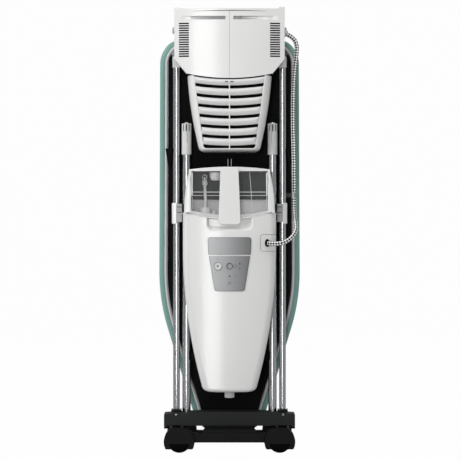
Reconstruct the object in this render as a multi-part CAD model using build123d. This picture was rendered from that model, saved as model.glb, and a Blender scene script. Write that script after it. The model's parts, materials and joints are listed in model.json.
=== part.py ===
from build123d import *
import math
import os

# A folding vacuum ironing table, standing folded on its wheels.
# X is to the right, Y is away from the viewer of the underside, Z is up.
# The origin is on the floor, at the centre of the wheeled base. Millimetres.

# General clearances and overruns
FIT = 0.05
GAP = 0.3
AIR = 1.5
OVER = 5.0

# Leg frame: hinge under the board, scissor pivot, and the plane of the legs
LEG_Y = -22.0
HINGE_Z = 1162.0
PIVOT_Z = 703.0
OUTER_X = 159.0
INNER_X = 129.0

# Board: half widths, heights of its outline corners, and the radii there
BOARD_TOP = 1232.0
BOARD_BOTTOM = 35.0
BOARD_HALF_TOP = 212.0
BOARD_HALF_WIDE = 215.0
BOARD_SHOULDER_Z = 438.0
BOARD_NOSE_HALF = 92.0
BOARD_CORNER_IN = 34.0
BOARD_CORNER_X = BOARD_HALF_TOP - BOARD_CORNER_IN
BOARD_CORNER_Z = 1186.0
BOARD_CORNER_R = 50.0
BOARD_CORNER_R_LOW = 80.0
BOARD_SHOULDER_R = 600.0
BOARD_NOSE_R = 75.0

# Board layers, from the underside to the ironing surface
TRAY_Y = 26.0
TRAY_WALL = 2.5
TRAY_DEPTH = 28.5
TRAY_INSET = 27.0
TRAY_TOP = 1180.0
DECK_T = 1.5
DECK_INSET = 2.0
DECK_HOLE_D = 8.0
DECK_HOLE_PITCH_X = 44.0
DECK_HOLE_PITCH_Z = 52.0
DECK_HOLE_EDGE = 40.0
PAD_T = 9.7
COVER_T = 1.5
COVER_TURN = 16.0
COVER_BACK = 4.5
HEM_W = 8.0
HEM_T = 4.0
RIB_T = 2.5
RIB_EDGE = 14.0
RIB_PITCH = 150.0
INTAKE_R = 42.0

# Iron rest at the heel of the board
REST_HALF = 163.0
REST_TOP = 1306.0
REST_BOTTOM = 1114.0
REST_SMILE = 14.0
REST_CHAMFER_Z = 1157.5
REST_CHAMFER_X = 127.0
REST_WALL = 2.5
REST_RIDGE = 7.0
REST_FRONT_Y = -89.0
REST_FLOOR_Y = -48.0
REST_LEDGE_Z = 1185.5
REST_LIP_Y = 75.0
REST_NOTCH_X = 112.0
REST_NOTCH_Y = -58.0
REST_CLEAR = 3.0
GRIP_Z = 1278.0
GRIP_H = 10.0
GRIP_IN = 12.0
GRIP_OUT = 140.0
GRIP_DEPTH = 9.0
VENT_COUNT = 15
VENT_PITCH = 6.9
VENT_H = 3.3
VENT_TOP = 1263.0
VENT_IN = 120.0
VENT_OUT = 149.0
HORN_W = 16.0
HORN_H = 5.0
MAT_T = 3.0

# Hood over the iron
HOOD_PIVOT_Y = 20.0
HOOD_PIVOT_Z = 1256.0
HOOD_Y = 118.0
HOOD_T = 2.5
HOOD_EAR_R = 13.0
HOOD_KNOB_R = 9.0
HOOD_KNOB_T = 4.5
HOOD_PIN_R = 4.0
HOOD_CORNER_R = 14.0

# Fan housing on the underside
FAN_BOTTOM = 881.0
FAN_FRONT_Y = -95.0
FAN_HALF_TOP = 127.0
FAN_HALF_LOW = 90.0
FAN_FACE_HALF_TOP = 105.0
FAN_FACE_HALF_LOW = 74.0
FAN_FACE_TOP = 1092.0
FAN_FACE_BOTTOM = 889.0
FAN_CORNER_R = 14.0
FAN_WALL = 2.5
SLOT_COUNT = 7
SLOT_TOP = 1074.0
SLOT_PITCH = 29.1
SLOT_H = 8.0
SLOT_R = 700.0
SLOT_SIDE = 3.0
SLOT_RIB = 3.0
FAN_Z = 990.0
FAN_R = 62.0
FAN_HUB_R = 14.0
FAN_VANES = 11
FAN_VANE_T = 2.0
FAN_VANE_IN = 26.0
FAN_DISC_T = 2.5
FAN_DEPTH = 20.0
FAN_Y = -8.0
MOTOR_R = 34.0
MOTOR_L = 46.0
MOTOR_FOOT_T = 4.0
SHAFT_R = 4.0

# Hooks and rod racks on the underside
HOOK_X = 171.5
HOOK_W = 21.0
HOOK_TOP = 897.0
HOOK_H = 61.0
HOOK_REACH = 46.0
RACK_Z = 725.0
RACK_H = 70.0
RACK_REACH = 23.0
RACK_GAP = 17.0
RACK_WALL = 3.0
RACK_BASE = 3.0

# Hinge bracket under the board
BRACKET_BASE_T = 3.0
BRACKET_Z_LOW = 22.0
BRACKET_Z_HIGH = 14.0
BRACKET_IN = 143.0
BRACKET_IN_T = 4.0
BRACKET_OUT = 171.5
BRACKET_OUT_T = 5.5
BRACKET_FRONT = 12.0
HINGE_PIN_R = 4.0

# Outer leg tubes and their top blocks
OUTER_R = 10.0
TUBE_WALL = 1.5
OUTER_BOTTOM = 44.0
OUTER_TOP = 1169.0
BLOCK_HALF = 11.6
BLOCK_LOW = 24.0
BLOCK_HIGH = 9.5

# Inner leg tubes, sleeves and telescopic rods
INNER_R = 12.5
INNER_BOTTOM = 76.0
INNER_TOP = 968.0
SLEEVE_R = 14.5
SLEEVE_L = 90.0
SLEEVE_LID = 3.0
SLEEVE_SLOT_W = 5.0
SLEEVE_SLOT_L = 22.0
ROD_R = 7.0
ROD_BOTTOM = 724.0
ROD_COLLAR_H = 24.0
ROD_TIP_H = 4.0

# Scissor pivot
PIVOT_R = 5.0
PIVOT_HEAD_R = 9.0
PIVOT_HEAD_T = 2.5
PIVOT_BLOCK_IN = 142.2
PIVOT_BLOCK_HALF_Y = 17.0
PIVOT_BLOCK_LOW = 27.0
PIVOT_BLOCK_HIGH = 27.0
PIVOT_COVER_OUT = 172.5
PIVOT_COVER_LOW = 32.0
PIVOT_COVER_HIGH = 30.0
PIVOT_RIB_H = 2.0
PIVOT_RIB_DEPTH = 1.5

# Foot bar on the inner legs
FOOT_HALF = 195.0
FOOT_TOP_END = 105.0
FOOT_TOP_MID = 112.5
FOOT_BOTTOM = 69.5
FOOT_LIP = 4.5
FOOT_LIP_IN = 184.0
FOOT_PAD_T = 3.5
FOOT_FRONT = -60.0
FOOT_BACK = -8.0
FOOT_WALL = 3.0
FOOT_SLOT_HALF = 11.5
CLIP_H = 9.0
CLIP_HALF = 15.0
CLIP_FRONT = 24.0
SCREW_R = 4.0

# Wheeled base
WHEEL_R = 33.5
WHEEL_X = 147.0
WHEEL_W = 24.0
WHEEL_HUB_R = 22.0
WHEEL_AXLE_R = 4.0
HOOD_BASE_R = 45.0
HOOD_BASE_TOP = 70.5
HOOD_BASE_CUT = 12.0
BASE_HALF_Y = 140.0
WHEEL_COVER_L = 44.0
BASE_INNER_Y = BASE_HALF_Y - WHEEL_COVER_L
WHEEL_Y = BASE_HALF_Y - WHEEL_COVER_L / 2
BASE_WALL = 3.0
FRONT_BAR_LOW = 30.0
FRONT_BAR_HIGH = 57.0
FRONT_BAR_RISE = 4.0
REAR_BAR_LOW = 12.0
REAR_BAR_HIGH = 32.0
BAR_DEPTH = 24.0
BAR_BACK = 12.0
BAR_FAR = BASE_HALF_Y - BAR_BACK
BAR_NEAR = BAR_FAR - BAR_DEPTH
RAIL_IN = 142.0
RAIL_OUT = 180.0
RAIL_LOW = 30.0
RAIL_HIGH = 57.0
SOCKET_R = 15.0
SOCKET_H = 9.0

# Steam generator
GEN_FRONT = -132.0
GEN_BACK = -36.0
GEN_HALF = 137.0
GEN_HALF_Z = 610.0
GEN_MID_HALF = 122.0
GEN_MID_Z = 391.0
GEN_LOW_HALF = 77.0
GEN_BOTTOM = 180.0
GEN_BOTTOM_DROP = 6.0
GEN_TOP = 703.0
GEN_TOP_SMILE = 19.0
GEN_WALL = 3.0
GEN_ROUND = 20.0
GEN_CORNER_R = 22.0
CRADLE_T = 12.0
CRADLE_H = 24.0
CRADLE_LOW_Z = 262.0
CRADLE_HIGH_Z = 560.0
BOILER_R = 36.0
BOILER_L = 150.0
BOILER_Z = 330.0
BOILER_SEAM = 2.0
PUMP_R = 20.0
PUMP_L = 70.0
PUMP_Z = 470.0
BACK_T = 3.0
MAINS_GLAND_R = 9.0
MAINS_GLAND_L = 14.0
MAINS_GLAND_Z = 225.0
MAINS_BORE_R = 4.0
DRAIN_R = 14.5
DRAIN_H = 17.0
DRAIN_NECK_R = 9.0

# Water tank
TANK_HALF_LOW = 133.0
TANK_HALF_TOP = 119.0
TANK_TOP = 824.0
TANK_FRONT = -129.0
TANK_BACK = -46.0
TANK_WALL = 2.5
TANK_SEAT = 0.3
PILLAR_W = 8.0
LID_T = 9.0
LID_ARCH = 8.0
TONGUE_HALF_TOP = 26.0
TONGUE_HALF_LOW = 33.0
TONGUE_BOTTOM = 668.0
TONGUE_T = 6.0
TONGUE_R = 10.0
RECESS_HALF = 65.0
RECESS_BOTTOM = 650.0
RECESS_DEPTH = 12.0
FILTER_X = -73.0
FILTER_Y = -88.0
FILTER_R = 16.0
FILTER_H = 24.0
PIPE_R = 5.0
PIPE_TOP = 806.0
VALVE_R = 8.0
VALVE_H = 12.0
VALVE_Z = 785.0

# Control panel, buttons, hose outlet
PLATE_T = 1.5
PLATE_TOP = 631.0
PLATE_MID = 580.0
PLATE_GAP = 4.0
PLATE_BOTTOM = 473.0
PLATE_HALF_TOP = 64.5
PLATE_HALF_MID = 60.5
PLATE_HALF_LOW = 44.0
PLATE_R = 9.0
POWER_X = -34.0
BUTTON_Z = 546.5
POWER_R = 13.2
STEAM_R = 10.0
BUTTON_RISE = 2.5
BUTTON_BODY = 5.0
BUTTON_TRAVEL = 1.5
BUTTON_GAP = 0.25
OUTLET_R = 11.0
OUTLET_L = 16.0

# Steam hose, from the generator round the right leg to the iron rest
HOSE_R = 6.5
HOSE_LOWER = [(113, -139, 614), (143, -156, 610), (175, -157, 623), (194, -142, 647),
              (194, -114, 671), (193, -80, 684), (192, -55, 711), (192, -55, 748)]
HOSE_UPPER = [(192, -55, 764), (192, -55, 830), (191, -52, 900), (189, -46, 970),
              (190, -34, 1035), (192, -18, 1095), (197, -10, 1150), (203, -10, 1192),
              (201, -11, 1214), (190, -14, 1231), (172, -15, 1240)]
HOSE_SEAM_X = 155.0
CLIP_Z_LOW = 748.0
CLIP_Z_HIGH = 764.0
CLIP_WALL = 2.0
GLAND_R = 10.0
GLAND_L = 22.0

# Iron, parked in its rest with its soleplate towards the rest's floor
IRON_Z = 1245.0
IRON_HEEL_X = 118.0
IRON_TIP_X = -132.0
IRON_HALF = 50.0
IRON_SOLE_T = 7.0
IRON_BODY_H = 46.0
IRON_BODY_INSET = 7.0
IRON_HANDLE_Y = 78.0
IRON_HANDLE_R = 14.0
IRON_HANDLE_L = 150.0
IRON_POST_W = 26.0
IRON_POST_T = 30.0
IRON_BUTTON_R = 9.0
IRON_BUTTON_H = 5.0
IRON_TIP_R = 6.0
IRON_HEEL_R = 20.0
IRON_LEAD_R = 8.0

# Worked-out places
DECK_Y = TRAY_Y + TRAY_DEPTH
PAD_Y = DECK_Y + DECK_T
COVER_Y = PAD_Y + PAD_T + GAP + COVER_T
COVER_UNDER = DECK_Y - COVER_BACK
INNER_BORE = INNER_R - TUBE_WALL


def box(x0, x1, y0, y1, z0, z1):
    """A box between two corners."""
    return Pos((x0 + x1) / 2, (y0 + y1) / 2, (z0 + z1) / 2) * Box(x1 - x0, y1 - y0, z1 - z0)


def rounded(points, radii):
    """A closed outline on the front view, with one radius for each corner."""
    return make_face(FilletPolyline(*points, radius=radii, close=True))


def slab(outline, near, far):
    """An outline on the front view as a solid, from one depth to another."""
    return extrude(Plane.XZ.offset(-far) * outline, far - near)


def rod_x(x0, x1, y, z, radius):
    """A round rod along X."""
    return Pos((x0 + x1) / 2, y, z) * Rot(0, 90, 0) * Cylinder(radius, x1 - x0)


def rod_y(y0, y1, x, z, radius):
    """A round rod along Y."""
    return Pos(x, (y0 + y1) / 2, z) * Rot(90, 0, 0) * Cylinder(radius, y1 - y0)


def rod_z(z0, z1, x, y, radius):
    """A round rod along Z."""
    return Pos(x, y, (z0 + z1) / 2) * Cylinder(radius, z1 - z0)


def smile(half, middle_z, end_z):
    """An arc through two ends at one height and a middle at another."""
    return ThreePointArc((-half, end_z), (0, middle_z), (half, end_z))


def flip(shape, side):
    """The shape as it is on the right side, or mirrored for the left one."""
    return shape if side == "right" else mirror(shape, about=Plane.YZ)


def both_sides(make):
    """A piece of the right side and its mirror image on the left."""
    return [flip(make(), side) for side in ("left", "right")]


# Board

def drawn_in(points, inset):
    """The corners of a convex outline, given clockwise, with each side moved inwards."""
    sides = []
    for a, b in zip(points, points[1:] + points[:1]):
        run, rise = b[0] - a[0], b[1] - a[1]
        size = math.hypot(run, rise)
        shift = inset / size
        sides.append((a[0] + rise * shift, a[1] - run * shift, run, rise))
    corners = []
    for (x0, z0, run0, rise0), (x1, z1, run1, rise1) in zip(sides[-1:] + sides[:-1], sides):
        cross = run0 * rise1 - rise0 * run1
        along = ((x1 - x0) * rise1 - (z1 - z0) * run1) / cross
        corners.append((x0 + run0 * along, z0 + rise0 * along))
    return corners


def board_outline(inset):
    """The board's outline, drawn in by an inset."""
    half = [
        (BOARD_CORNER_X, BOARD_TOP),
        (BOARD_HALF_TOP, BOARD_CORNER_Z),
        (BOARD_HALF_WIDE, BOARD_SHOULDER_Z),
        (BOARD_NOSE_HALF, BOARD_BOTTOM),
    ]
    radii = [BOARD_CORNER_R, BOARD_CORNER_R_LOW, BOARD_SHOULDER_R, BOARD_NOSE_R]
    corners = half + [(-x, z) for x, z in reversed(half)]
    rounds = [max(r - inset, OVER) for r in radii + radii[::-1]]
    return rounded(drawn_in(corners, inset), rounds)


def heel_notch(y0, y1, margin):
    """The cut in the board's heel that the iron rest goes through."""
    half = REST_HALF + REST_CLEAR + margin
    return box(-half, half, y0, y1, REST_LEDGE_Z - REST_CLEAR - margin, BOARD_TOP + OVER)


def layer(y0, y1, margin):
    """A flat layer of the board: its main piece up to the heel notch, and an arm each side of it."""
    plate = slab(board_outline(DECK_INSET), y0, y1)
    half, far = REST_HALF + REST_CLEAR + margin, BOARD_HALF_TOP + OVER
    z = REST_LEDGE_Z - REST_CLEAR - margin
    above = box(-far, far, y0 - OVER, y1 + OVER, z, BOARD_TOP + OVER)
    arms = [plate & box(x0, x1, y0 - OVER, y1 + OVER, z + FIT, BOARD_TOP + OVER)
            for x0, x1 in ((half, far), (-far, -half))]
    return [plate - above] + arms


def deck():
    """The perforated steel deck and its two heel arms."""
    plate, *arms = layer(DECK_Y, PAD_Y, COVER_T)
    inner = board_outline(DECK_HOLE_EDGE)
    places = []
    columns = int(BOARD_HALF_WIDE / DECK_HOLE_PITCH_X)
    rows = int((TRAY_TOP - BOARD_BOTTOM) / DECK_HOLE_PITCH_Z)
    for row in range(rows):
        z = BOARD_BOTTOM + DECK_HOLE_EDGE + row * DECK_HOLE_PITCH_Z
        for column in range(-columns, columns + 1):
            x = column * DECK_HOLE_PITCH_X
            if z < TRAY_TOP - DECK_HOLE_EDGE and abs(x) < half_width(z) - DECK_HOLE_EDGE:
                places.append((x, z))
    holes = Sketch() + [Pos(x, z) * Circle(DECK_HOLE_D / 2) for x, z in places]
    return [plate - slab(holes & inner, DECK_Y - OVER, PAD_Y + OVER)] + arms


def half_width(z):
    """The board's half width at a height, without its round corners."""
    if z > BOARD_SHOULDER_Z:
        return BOARD_HALF_WIDE
    share = (z - BOARD_BOTTOM) / (BOARD_SHOULDER_Z - BOARD_BOTTOM)
    return BOARD_NOSE_HALF + share * (BOARD_HALF_WIDE - BOARD_NOSE_HALF)


def vacuum_tray():
    """The black tray under the deck, which holds the suction chamber."""
    outer = slab(board_outline(TRAY_INSET), TRAY_Y, DECK_Y)
    top, far = REST_LEDGE_Z - REST_CLEAR - COVER_T - GAP, BOARD_HALF_TOP + OVER
    outer -= box(-far, far, TRAY_Y - OVER, DECK_Y + OVER, top, BOARD_TOP + OVER)
    inner = slab(board_outline(TRAY_INSET + TRAY_WALL), TRAY_Y + TRAY_WALL, DECK_Y + OVER)
    inner -= box(-far, far, TRAY_Y, DECK_Y + 2 * OVER, top - TRAY_WALL, BOARD_TOP + OVER)
    tray = outer - inner
    z = BOARD_BOTTOM + TRAY_INSET + RIB_PITCH
    while z < FAN_BOTTOM:
        half = half_width(z) - TRAY_INSET - TRAY_WALL - RIB_EDGE
        tray += box(-half, half, TRAY_Y + TRAY_WALL, DECK_Y - RIB_EDGE, z, z + RIB_T)
        z += RIB_PITCH
    return tray - rod_y(TRAY_Y - OVER, TRAY_Y + TRAY_WALL + OVER, 0, FAN_Z, INTAKE_R)


def pad():
    """The felt pad and its two heel strips."""
    return layer(PAD_Y, PAD_Y + PAD_T, COVER_T + GAP)


def cover():
    """The fabric cover: its top, its edge and the part that is turned under."""
    shell = slab(board_outline(0), COVER_UNDER, COVER_Y)
    shell -= heel_notch(COVER_UNDER - OVER, COVER_Y + OVER, 0)
    inside = slab(board_outline(COVER_T), COVER_UNDER + COVER_T, COVER_Y - COVER_T)
    inside -= heel_notch(COVER_UNDER - OVER, COVER_Y + OVER, COVER_T)
    under = slab(board_outline(COVER_TURN), COVER_UNDER - OVER, COVER_UNDER + COVER_T)
    under -= heel_notch(COVER_UNDER - 2 * OVER, COVER_Y + OVER, COVER_T)
    return shell - inside - under


def hem():
    """The drawn hem that holds the cover's edge under the board."""
    y0 = COVER_UNDER - (HEM_T - COVER_T) / 2
    ring = slab(board_outline(COVER_TURN), y0, y0 + HEM_T)
    ring -= slab(board_outline(COVER_TURN + HEM_W), y0 - OVER, y0 + HEM_T + OVER)
    return ring - heel_notch(y0 - OVER, y0 + HEM_T + OVER, COVER_T)


# Iron rest

def rest_outline(inset):
    """The front view of the iron rest, with its slanted lower corners and curved lower edge."""
    half, top = REST_HALF - inset, REST_TOP - inset
    low = REST_BOTTOM + inset
    low_half = REST_CHAMFER_X - inset / 2
    edges = [
        Line((-half, top), (half, top)),
        Line((half, top), (half, REST_CHAMFER_Z)),
        Line((half, REST_CHAMFER_Z), (low_half, low)),
        smile(low_half, low - REST_SMILE, low),
        Line((-low_half, low), (-half, REST_CHAMFER_Z)),
        Line((-half, REST_CHAMFER_Z), (-half, top)),
    ]
    return make_face(Wire(edges))


def ridge_block(inset, back):
    """A block whose front rises to a ridge at the centre line."""
    front = REST_FRONT_Y + inset
    points = [
        (-REST_HALF, back),
        (-REST_HALF, front),
        (0, front - REST_RIDGE),
        (REST_HALF, front),
        (REST_HALF, back),
    ]
    flat = make_face(Polyline(*points, close=True))
    base = REST_BOTTOM - REST_SMILE - OVER
    return extrude(Pos(0, 0, base) * flat, REST_TOP + HORN_H + OVER - base)


def rest_housing():
    """The white housing at the heel: a hollow front, and a tray behind it that holds the iron."""
    front = slab(rest_outline(0), REST_FRONT_Y - REST_RIDGE, TRAY_Y) & ridge_block(0, TRAY_Y)
    tray = box(-REST_HALF, REST_HALF, REST_FLOOR_Y, REST_LIP_Y, REST_LEDGE_Z, REST_TOP)
    shell = front + tray
    side = REST_HALF + OVER
    for x0, x1 in ((REST_NOTCH_X, side), (-side, -REST_NOTCH_X)):
        shell -= box(x0, x1, REST_NOTCH_Y, TRAY_Y + OVER, REST_BOTTOM - REST_SMILE - OVER, REST_LEDGE_Z)
    wall_y = REST_NOTCH_Y - REST_WALL
    hollow = slab(rest_outline(REST_WALL), REST_FRONT_Y - REST_RIDGE, wall_y)
    hollow &= ridge_block(REST_WALL, wall_y + OVER)
    low = slab(rest_outline(REST_WALL), wall_y - OVER, TRAY_Y + OVER)
    narrow = REST_NOTCH_X - REST_WALL
    low &= box(-narrow, narrow, wall_y - OVER, TRAY_Y + OVER, REST_BOTTOM - 2 * REST_SMILE, REST_LEDGE_Z)
    inner = REST_HALF - REST_WALL
    cavity = box(-inner, inner, REST_FLOOR_Y + REST_WALL, REST_LIP_Y + OVER,
                 REST_LEDGE_Z + REST_WALL, REST_TOP - REST_WALL)
    shell = shell - hollow - low - cavity
    for x0 in (-REST_HALF, REST_HALF - HORN_W):
        shell += box(x0, x0 + HORN_W, REST_FRONT_Y, REST_FLOOR_Y, REST_TOP, REST_TOP + HORN_H)
    shell -= grip_slots()
    shell -= vents()
    shell -= gland_rod(0, GLAND_L, GLAND_R)
    for s in (-1, 1):
        x = s * (REST_HALF - REST_WALL / 2)
        shell -= rod_x(x - OVER, x + OVER, HOOD_PIVOT_Y, HOOD_PIVOT_Z, HOOD_PIN_R + FIT)
    return shell


def grip_slots():
    """Two finger slots under the top edge, deepest beside the centre line."""
    front = REST_FRONT_Y - REST_RIDGE - OVER
    points = [(GRIP_IN, front), (GRIP_OUT, front), (GRIP_OUT, REST_FRONT_Y),
              (GRIP_IN, REST_FRONT_Y - REST_RIDGE + GRIP_DEPTH)]
    flat = make_face(Polyline(*points, close=True))
    right = extrude(Pos(0, 0, GRIP_Z - GRIP_H / 2) * flat, GRIP_H)
    return Compound([right, mirror(right, about=Plane.YZ)])


def vents():
    cuts = []
    for i in range(VENT_COUNT):
        z = VENT_TOP - i * VENT_PITCH
        for x0 in (-VENT_OUT, VENT_IN):
            x1 = x0 + VENT_OUT - VENT_IN
            y0, y1 = REST_FRONT_Y - REST_RIDGE - OVER, REST_FRONT_Y + 2 * OVER
            cuts.append(box(x0, x1, y0, y1, z - VENT_H, z))
    return Compound(cuts)


def rest_mat():
    """The heat-proof mat that the soleplate lies on."""
    half = REST_HALF - REST_WALL - REST_CLEAR
    y = REST_FLOOR_Y + REST_WALL
    z0, z1 = REST_LEDGE_Z + REST_WALL, REST_TOP - REST_WALL
    return box(-half, half, y, y + MAT_T, z0 + REST_CLEAR, z1 - REST_CLEAR)


def hood():
    """The cover over the iron, with an ear and a pin at each side."""
    y0, z0 = REST_LIP_Y + AIR, REST_LEDGE_Z
    outer_x = REST_HALF + GAP + HOOD_T
    shell = box(-outer_x, outer_x, y0, HOOD_Y, z0, REST_TOP)
    front = shell.edges().filter_by(Axis.X).group_by(Axis.Y)[-1]
    shell = fillet(front, HOOD_CORNER_R)
    inner = outer_x - HOOD_T
    shell -= box(-inner, inner, y0 - OVER, HOOD_Y - HOOD_T, z0 + HOOD_CORNER_R, REST_TOP - HOOD_CORNER_R)
    shell -= box(-inner, inner, y0 - OVER, HOOD_Y - HOOD_CORNER_R, z0 + HOOD_T, REST_TOP - HOOD_T)
    for s in (-1, 1):
        ear = rod_x(inner, outer_x, HOOD_PIVOT_Y, HOOD_PIVOT_Z, HOOD_EAR_R)
        ear += box(inner, outer_x, HOOD_PIVOT_Y, y0 + OVER,
                   HOOD_PIVOT_Z - HOOD_EAR_R, HOOD_PIVOT_Z + HOOD_EAR_R)
        ear += rod_x(outer_x, outer_x + HOOD_KNOB_T, HOOD_PIVOT_Y, HOOD_PIVOT_Z, HOOD_KNOB_R)
        ear += rod_x(REST_HALF - REST_WALL, inner, HOOD_PIVOT_Y, HOOD_PIVOT_Z, HOOD_PIN_R)
        shell += ear if s > 0 else mirror(ear, about=Plane.YZ)
    return shell


# Fan and its housing

def fan_face(half_top, half_low, bottom, grow):
    """One section of the fan housing, whose top follows the curved lower edge of the iron rest."""
    top = REST_BOTTOM - REST_SMILE - AIR + grow
    top_end = top + REST_SMILE * (half_top / REST_CHAMFER_X) ** 2
    half, low = half_top + grow, half_low + grow
    edges = [
        smile(half, top, top_end),
        Line((half, top_end), (low, bottom - grow)),
        Line((low, bottom - grow), (-low, bottom - grow)),
        Line((-low, bottom - grow), (-half, top_end)),
    ]
    face = make_face(Wire(edges))
    return fillet(face.vertices().group_by(Axis.Y)[0], FAN_CORNER_R + grow)


def fan_housing():
    """The white grille housing over the suction fan, lofted from the board to its smaller face."""
    outer, inner = [], []
    for grow, sections in ((0, outer), (-FAN_WALL, inner)):
        base = fan_face(FAN_HALF_TOP, FAN_HALF_LOW, FAN_BOTTOM, grow)
        face = fan_face(FAN_FACE_HALF_TOP, FAN_FACE_HALF_LOW, FAN_FACE_BOTTOM, grow)
        sections.append(Plane.XZ.offset(-TRAY_Y) * base)
        sections.append(Plane.XZ.offset(-FAN_FRONT_Y + grow) * face)
    shell = loft(outer, ruled=True) - loft(inner, ruled=True)
    for i in range(SLOT_COUNT):
        z = SLOT_TOP - i * SLOT_PITCH
        share = (FAN_FACE_TOP - z) / (FAN_FACE_TOP - FAN_FACE_BOTTOM)
        half = FAN_FACE_HALF_TOP + share * (FAN_FACE_HALF_LOW - FAN_FACE_HALF_TOP) - SLOT_SIDE
        shell -= curved_slot(half, z)
    return shell


def curved_slot(half, z):
    """One smile-shaped slot, in two halves beside the centre rib."""
    rise = half * half / (2 * SLOT_R)
    low, high = z - SLOT_H / 2, z + SLOT_H / 2
    edges = [
        smile(half, high, high + rise),
        Line((half, high + rise), (half, low + rise)),
        smile(half, low, low + rise),
        Line((-half, low + rise), (-half, high + rise)),
    ]
    y0, y1 = FAN_FRONT_Y - OVER, FAN_FRONT_Y + FAN_WALL + OVER
    cut = slab(make_face(Wire(edges)), y0, y1)
    return cut - box(-SLOT_RIB / 2, SLOT_RIB / 2, y0, y1, low - OVER, high + rise + OVER)


def fan_motor():
    """The fan motor, on a foot that bridges the housing behind the grille."""
    back = FAN_Y - AIR
    body = rod_y(back - MOTOR_L, back, 0, FAN_Z, MOTOR_R)
    body += rod_y(back, FAN_Y, 0, FAN_Z, SHAFT_R * 2)
    body += rod_y(FAN_Y, FAN_Y + FAN_DEPTH, 0, FAN_Z, SHAFT_R)
    half = FAN_HALF_LOW - FAN_WALL - OVER
    front = back - MOTOR_L
    z0, z1 = FAN_Z - MOTOR_R / 2, FAN_Z + MOTOR_R / 2
    foot = box(-half, half, front - MOTOR_FOOT_T, front, z0, z1)
    reach = box(-half, -half + MOTOR_FOOT_T, front, TRAY_Y, z0, z1)
    return body + foot + reach + mirror(reach, about=Plane.YZ)


def fan_wheel():
    wheel = rod_y(FAN_Y + FAN_DISC_T / 2, FAN_Y + FAN_DEPTH, 0, 0, FAN_HUB_R)
    wheel += rod_y(FAN_Y + FAN_DISC_T / 2, FAN_Y + FAN_DISC_T * 3 / 2, 0, 0, FAN_R)
    vane = box(FAN_VANE_IN, FAN_R - FAN_VANE_T, FAN_Y + FAN_DISC_T, FAN_Y + FAN_DEPTH,
               -FAN_VANE_T / 2, FAN_VANE_T / 2)
    for i in range(FAN_VANES):
        wheel += Rot(0, 360 * i / FAN_VANES, 0) * vane
    wheel -= rod_y(FAN_Y - OVER, FAN_Y + FAN_DEPTH + OVER, 0, 0, SHAFT_R + FIT)
    return Pos(0, 0, FAN_Z) * wheel


# Fittings on the underside of the board

def hook():
    """The wedge hook beside an outer leg, on the right side."""
    points = [(TRAY_Y, HOOK_TOP), (TRAY_Y - HOOK_REACH, HOOK_TOP), (TRAY_Y, HOOK_TOP - HOOK_H)]
    flat = make_face(Polyline(*points, close=True))
    return extrude(Plane.YZ.offset(HOOK_X) * flat, HOOK_W)


def rack():
    """The channel that takes the tip of a telescopic rod when the table stands open."""
    half = RACK_GAP / 2
    outer = half + RACK_WALL
    z0, z1 = RACK_Z - RACK_H / 2, RACK_Z + RACK_H / 2
    channel = box(INNER_X - outer, INNER_X + outer, TRAY_Y - RACK_REACH, TRAY_Y, z0, z1)
    channel -= box(INNER_X - half, INNER_X + half, TRAY_Y - RACK_REACH - OVER, TRAY_Y - RACK_BASE,
                   z0 - OVER, z1 + OVER)
    return channel


def hinge_bracket():
    """The bracket under the board, with its two cheeks and the hinge pin."""
    z0, z1 = HINGE_Z - BRACKET_Z_LOW, HINGE_Z + BRACKET_Z_HIGH
    out = BRACKET_OUT + BRACKET_OUT_T
    y0 = LEG_Y - BRACKET_FRONT
    bracket = box(BRACKET_IN, out, TRAY_Y - BRACKET_BASE_T, TRAY_Y, z0, z1)
    bracket += box(BRACKET_IN, BRACKET_IN + BRACKET_IN_T, y0, TRAY_Y, z0, z1)
    bracket += box(BRACKET_OUT, out, y0, TRAY_Y, z0, z1)
    bracket -= rod_x(BRACKET_IN - OVER, out + OVER, LEG_Y, HINGE_Z, HINGE_PIN_R)
    return bracket


def hinge_pin():
    return rod_x(BRACKET_IN - AIR, BRACKET_OUT + BRACKET_OUT_T, LEG_Y, HINGE_Z, HINGE_PIN_R)


# Outer leg frame

def outer_leg():
    tube = rod_z(OUTER_BOTTOM, OUTER_TOP, OUTER_X, LEG_Y, OUTER_R)
    tube -= rod_z(OUTER_BOTTOM - OVER, OUTER_TOP + OVER, OUTER_X, LEG_Y, OUTER_R - TUBE_WALL)
    side = 2 * OUTER_R
    tube -= rod_x(OUTER_X - side, OUTER_X + side, LEG_Y, HINGE_Z, HINGE_PIN_R + FIT)
    return tube - rod_x(OUTER_X - side, OUTER_X + side, LEG_Y, PIVOT_Z, PIVOT_R)


def leg_block():
    """The white block that closes the top of an outer leg and carries the hinge pin."""
    z0, z1 = HINGE_Z - BLOCK_LOW, HINGE_Z + BLOCK_HIGH
    block = box(OUTER_X - BLOCK_HALF, OUTER_X + BLOCK_HALF, LEG_Y - BLOCK_HALF, LEG_Y + BLOCK_HALF, z0, z1)
    block -= rod_z(z0 - OVER, OUTER_TOP, OUTER_X, LEG_Y, OUTER_R)
    return block - rod_x(BRACKET_IN, BRACKET_OUT + OVER, LEG_Y, HINGE_Z, HINGE_PIN_R + FIT)


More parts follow.
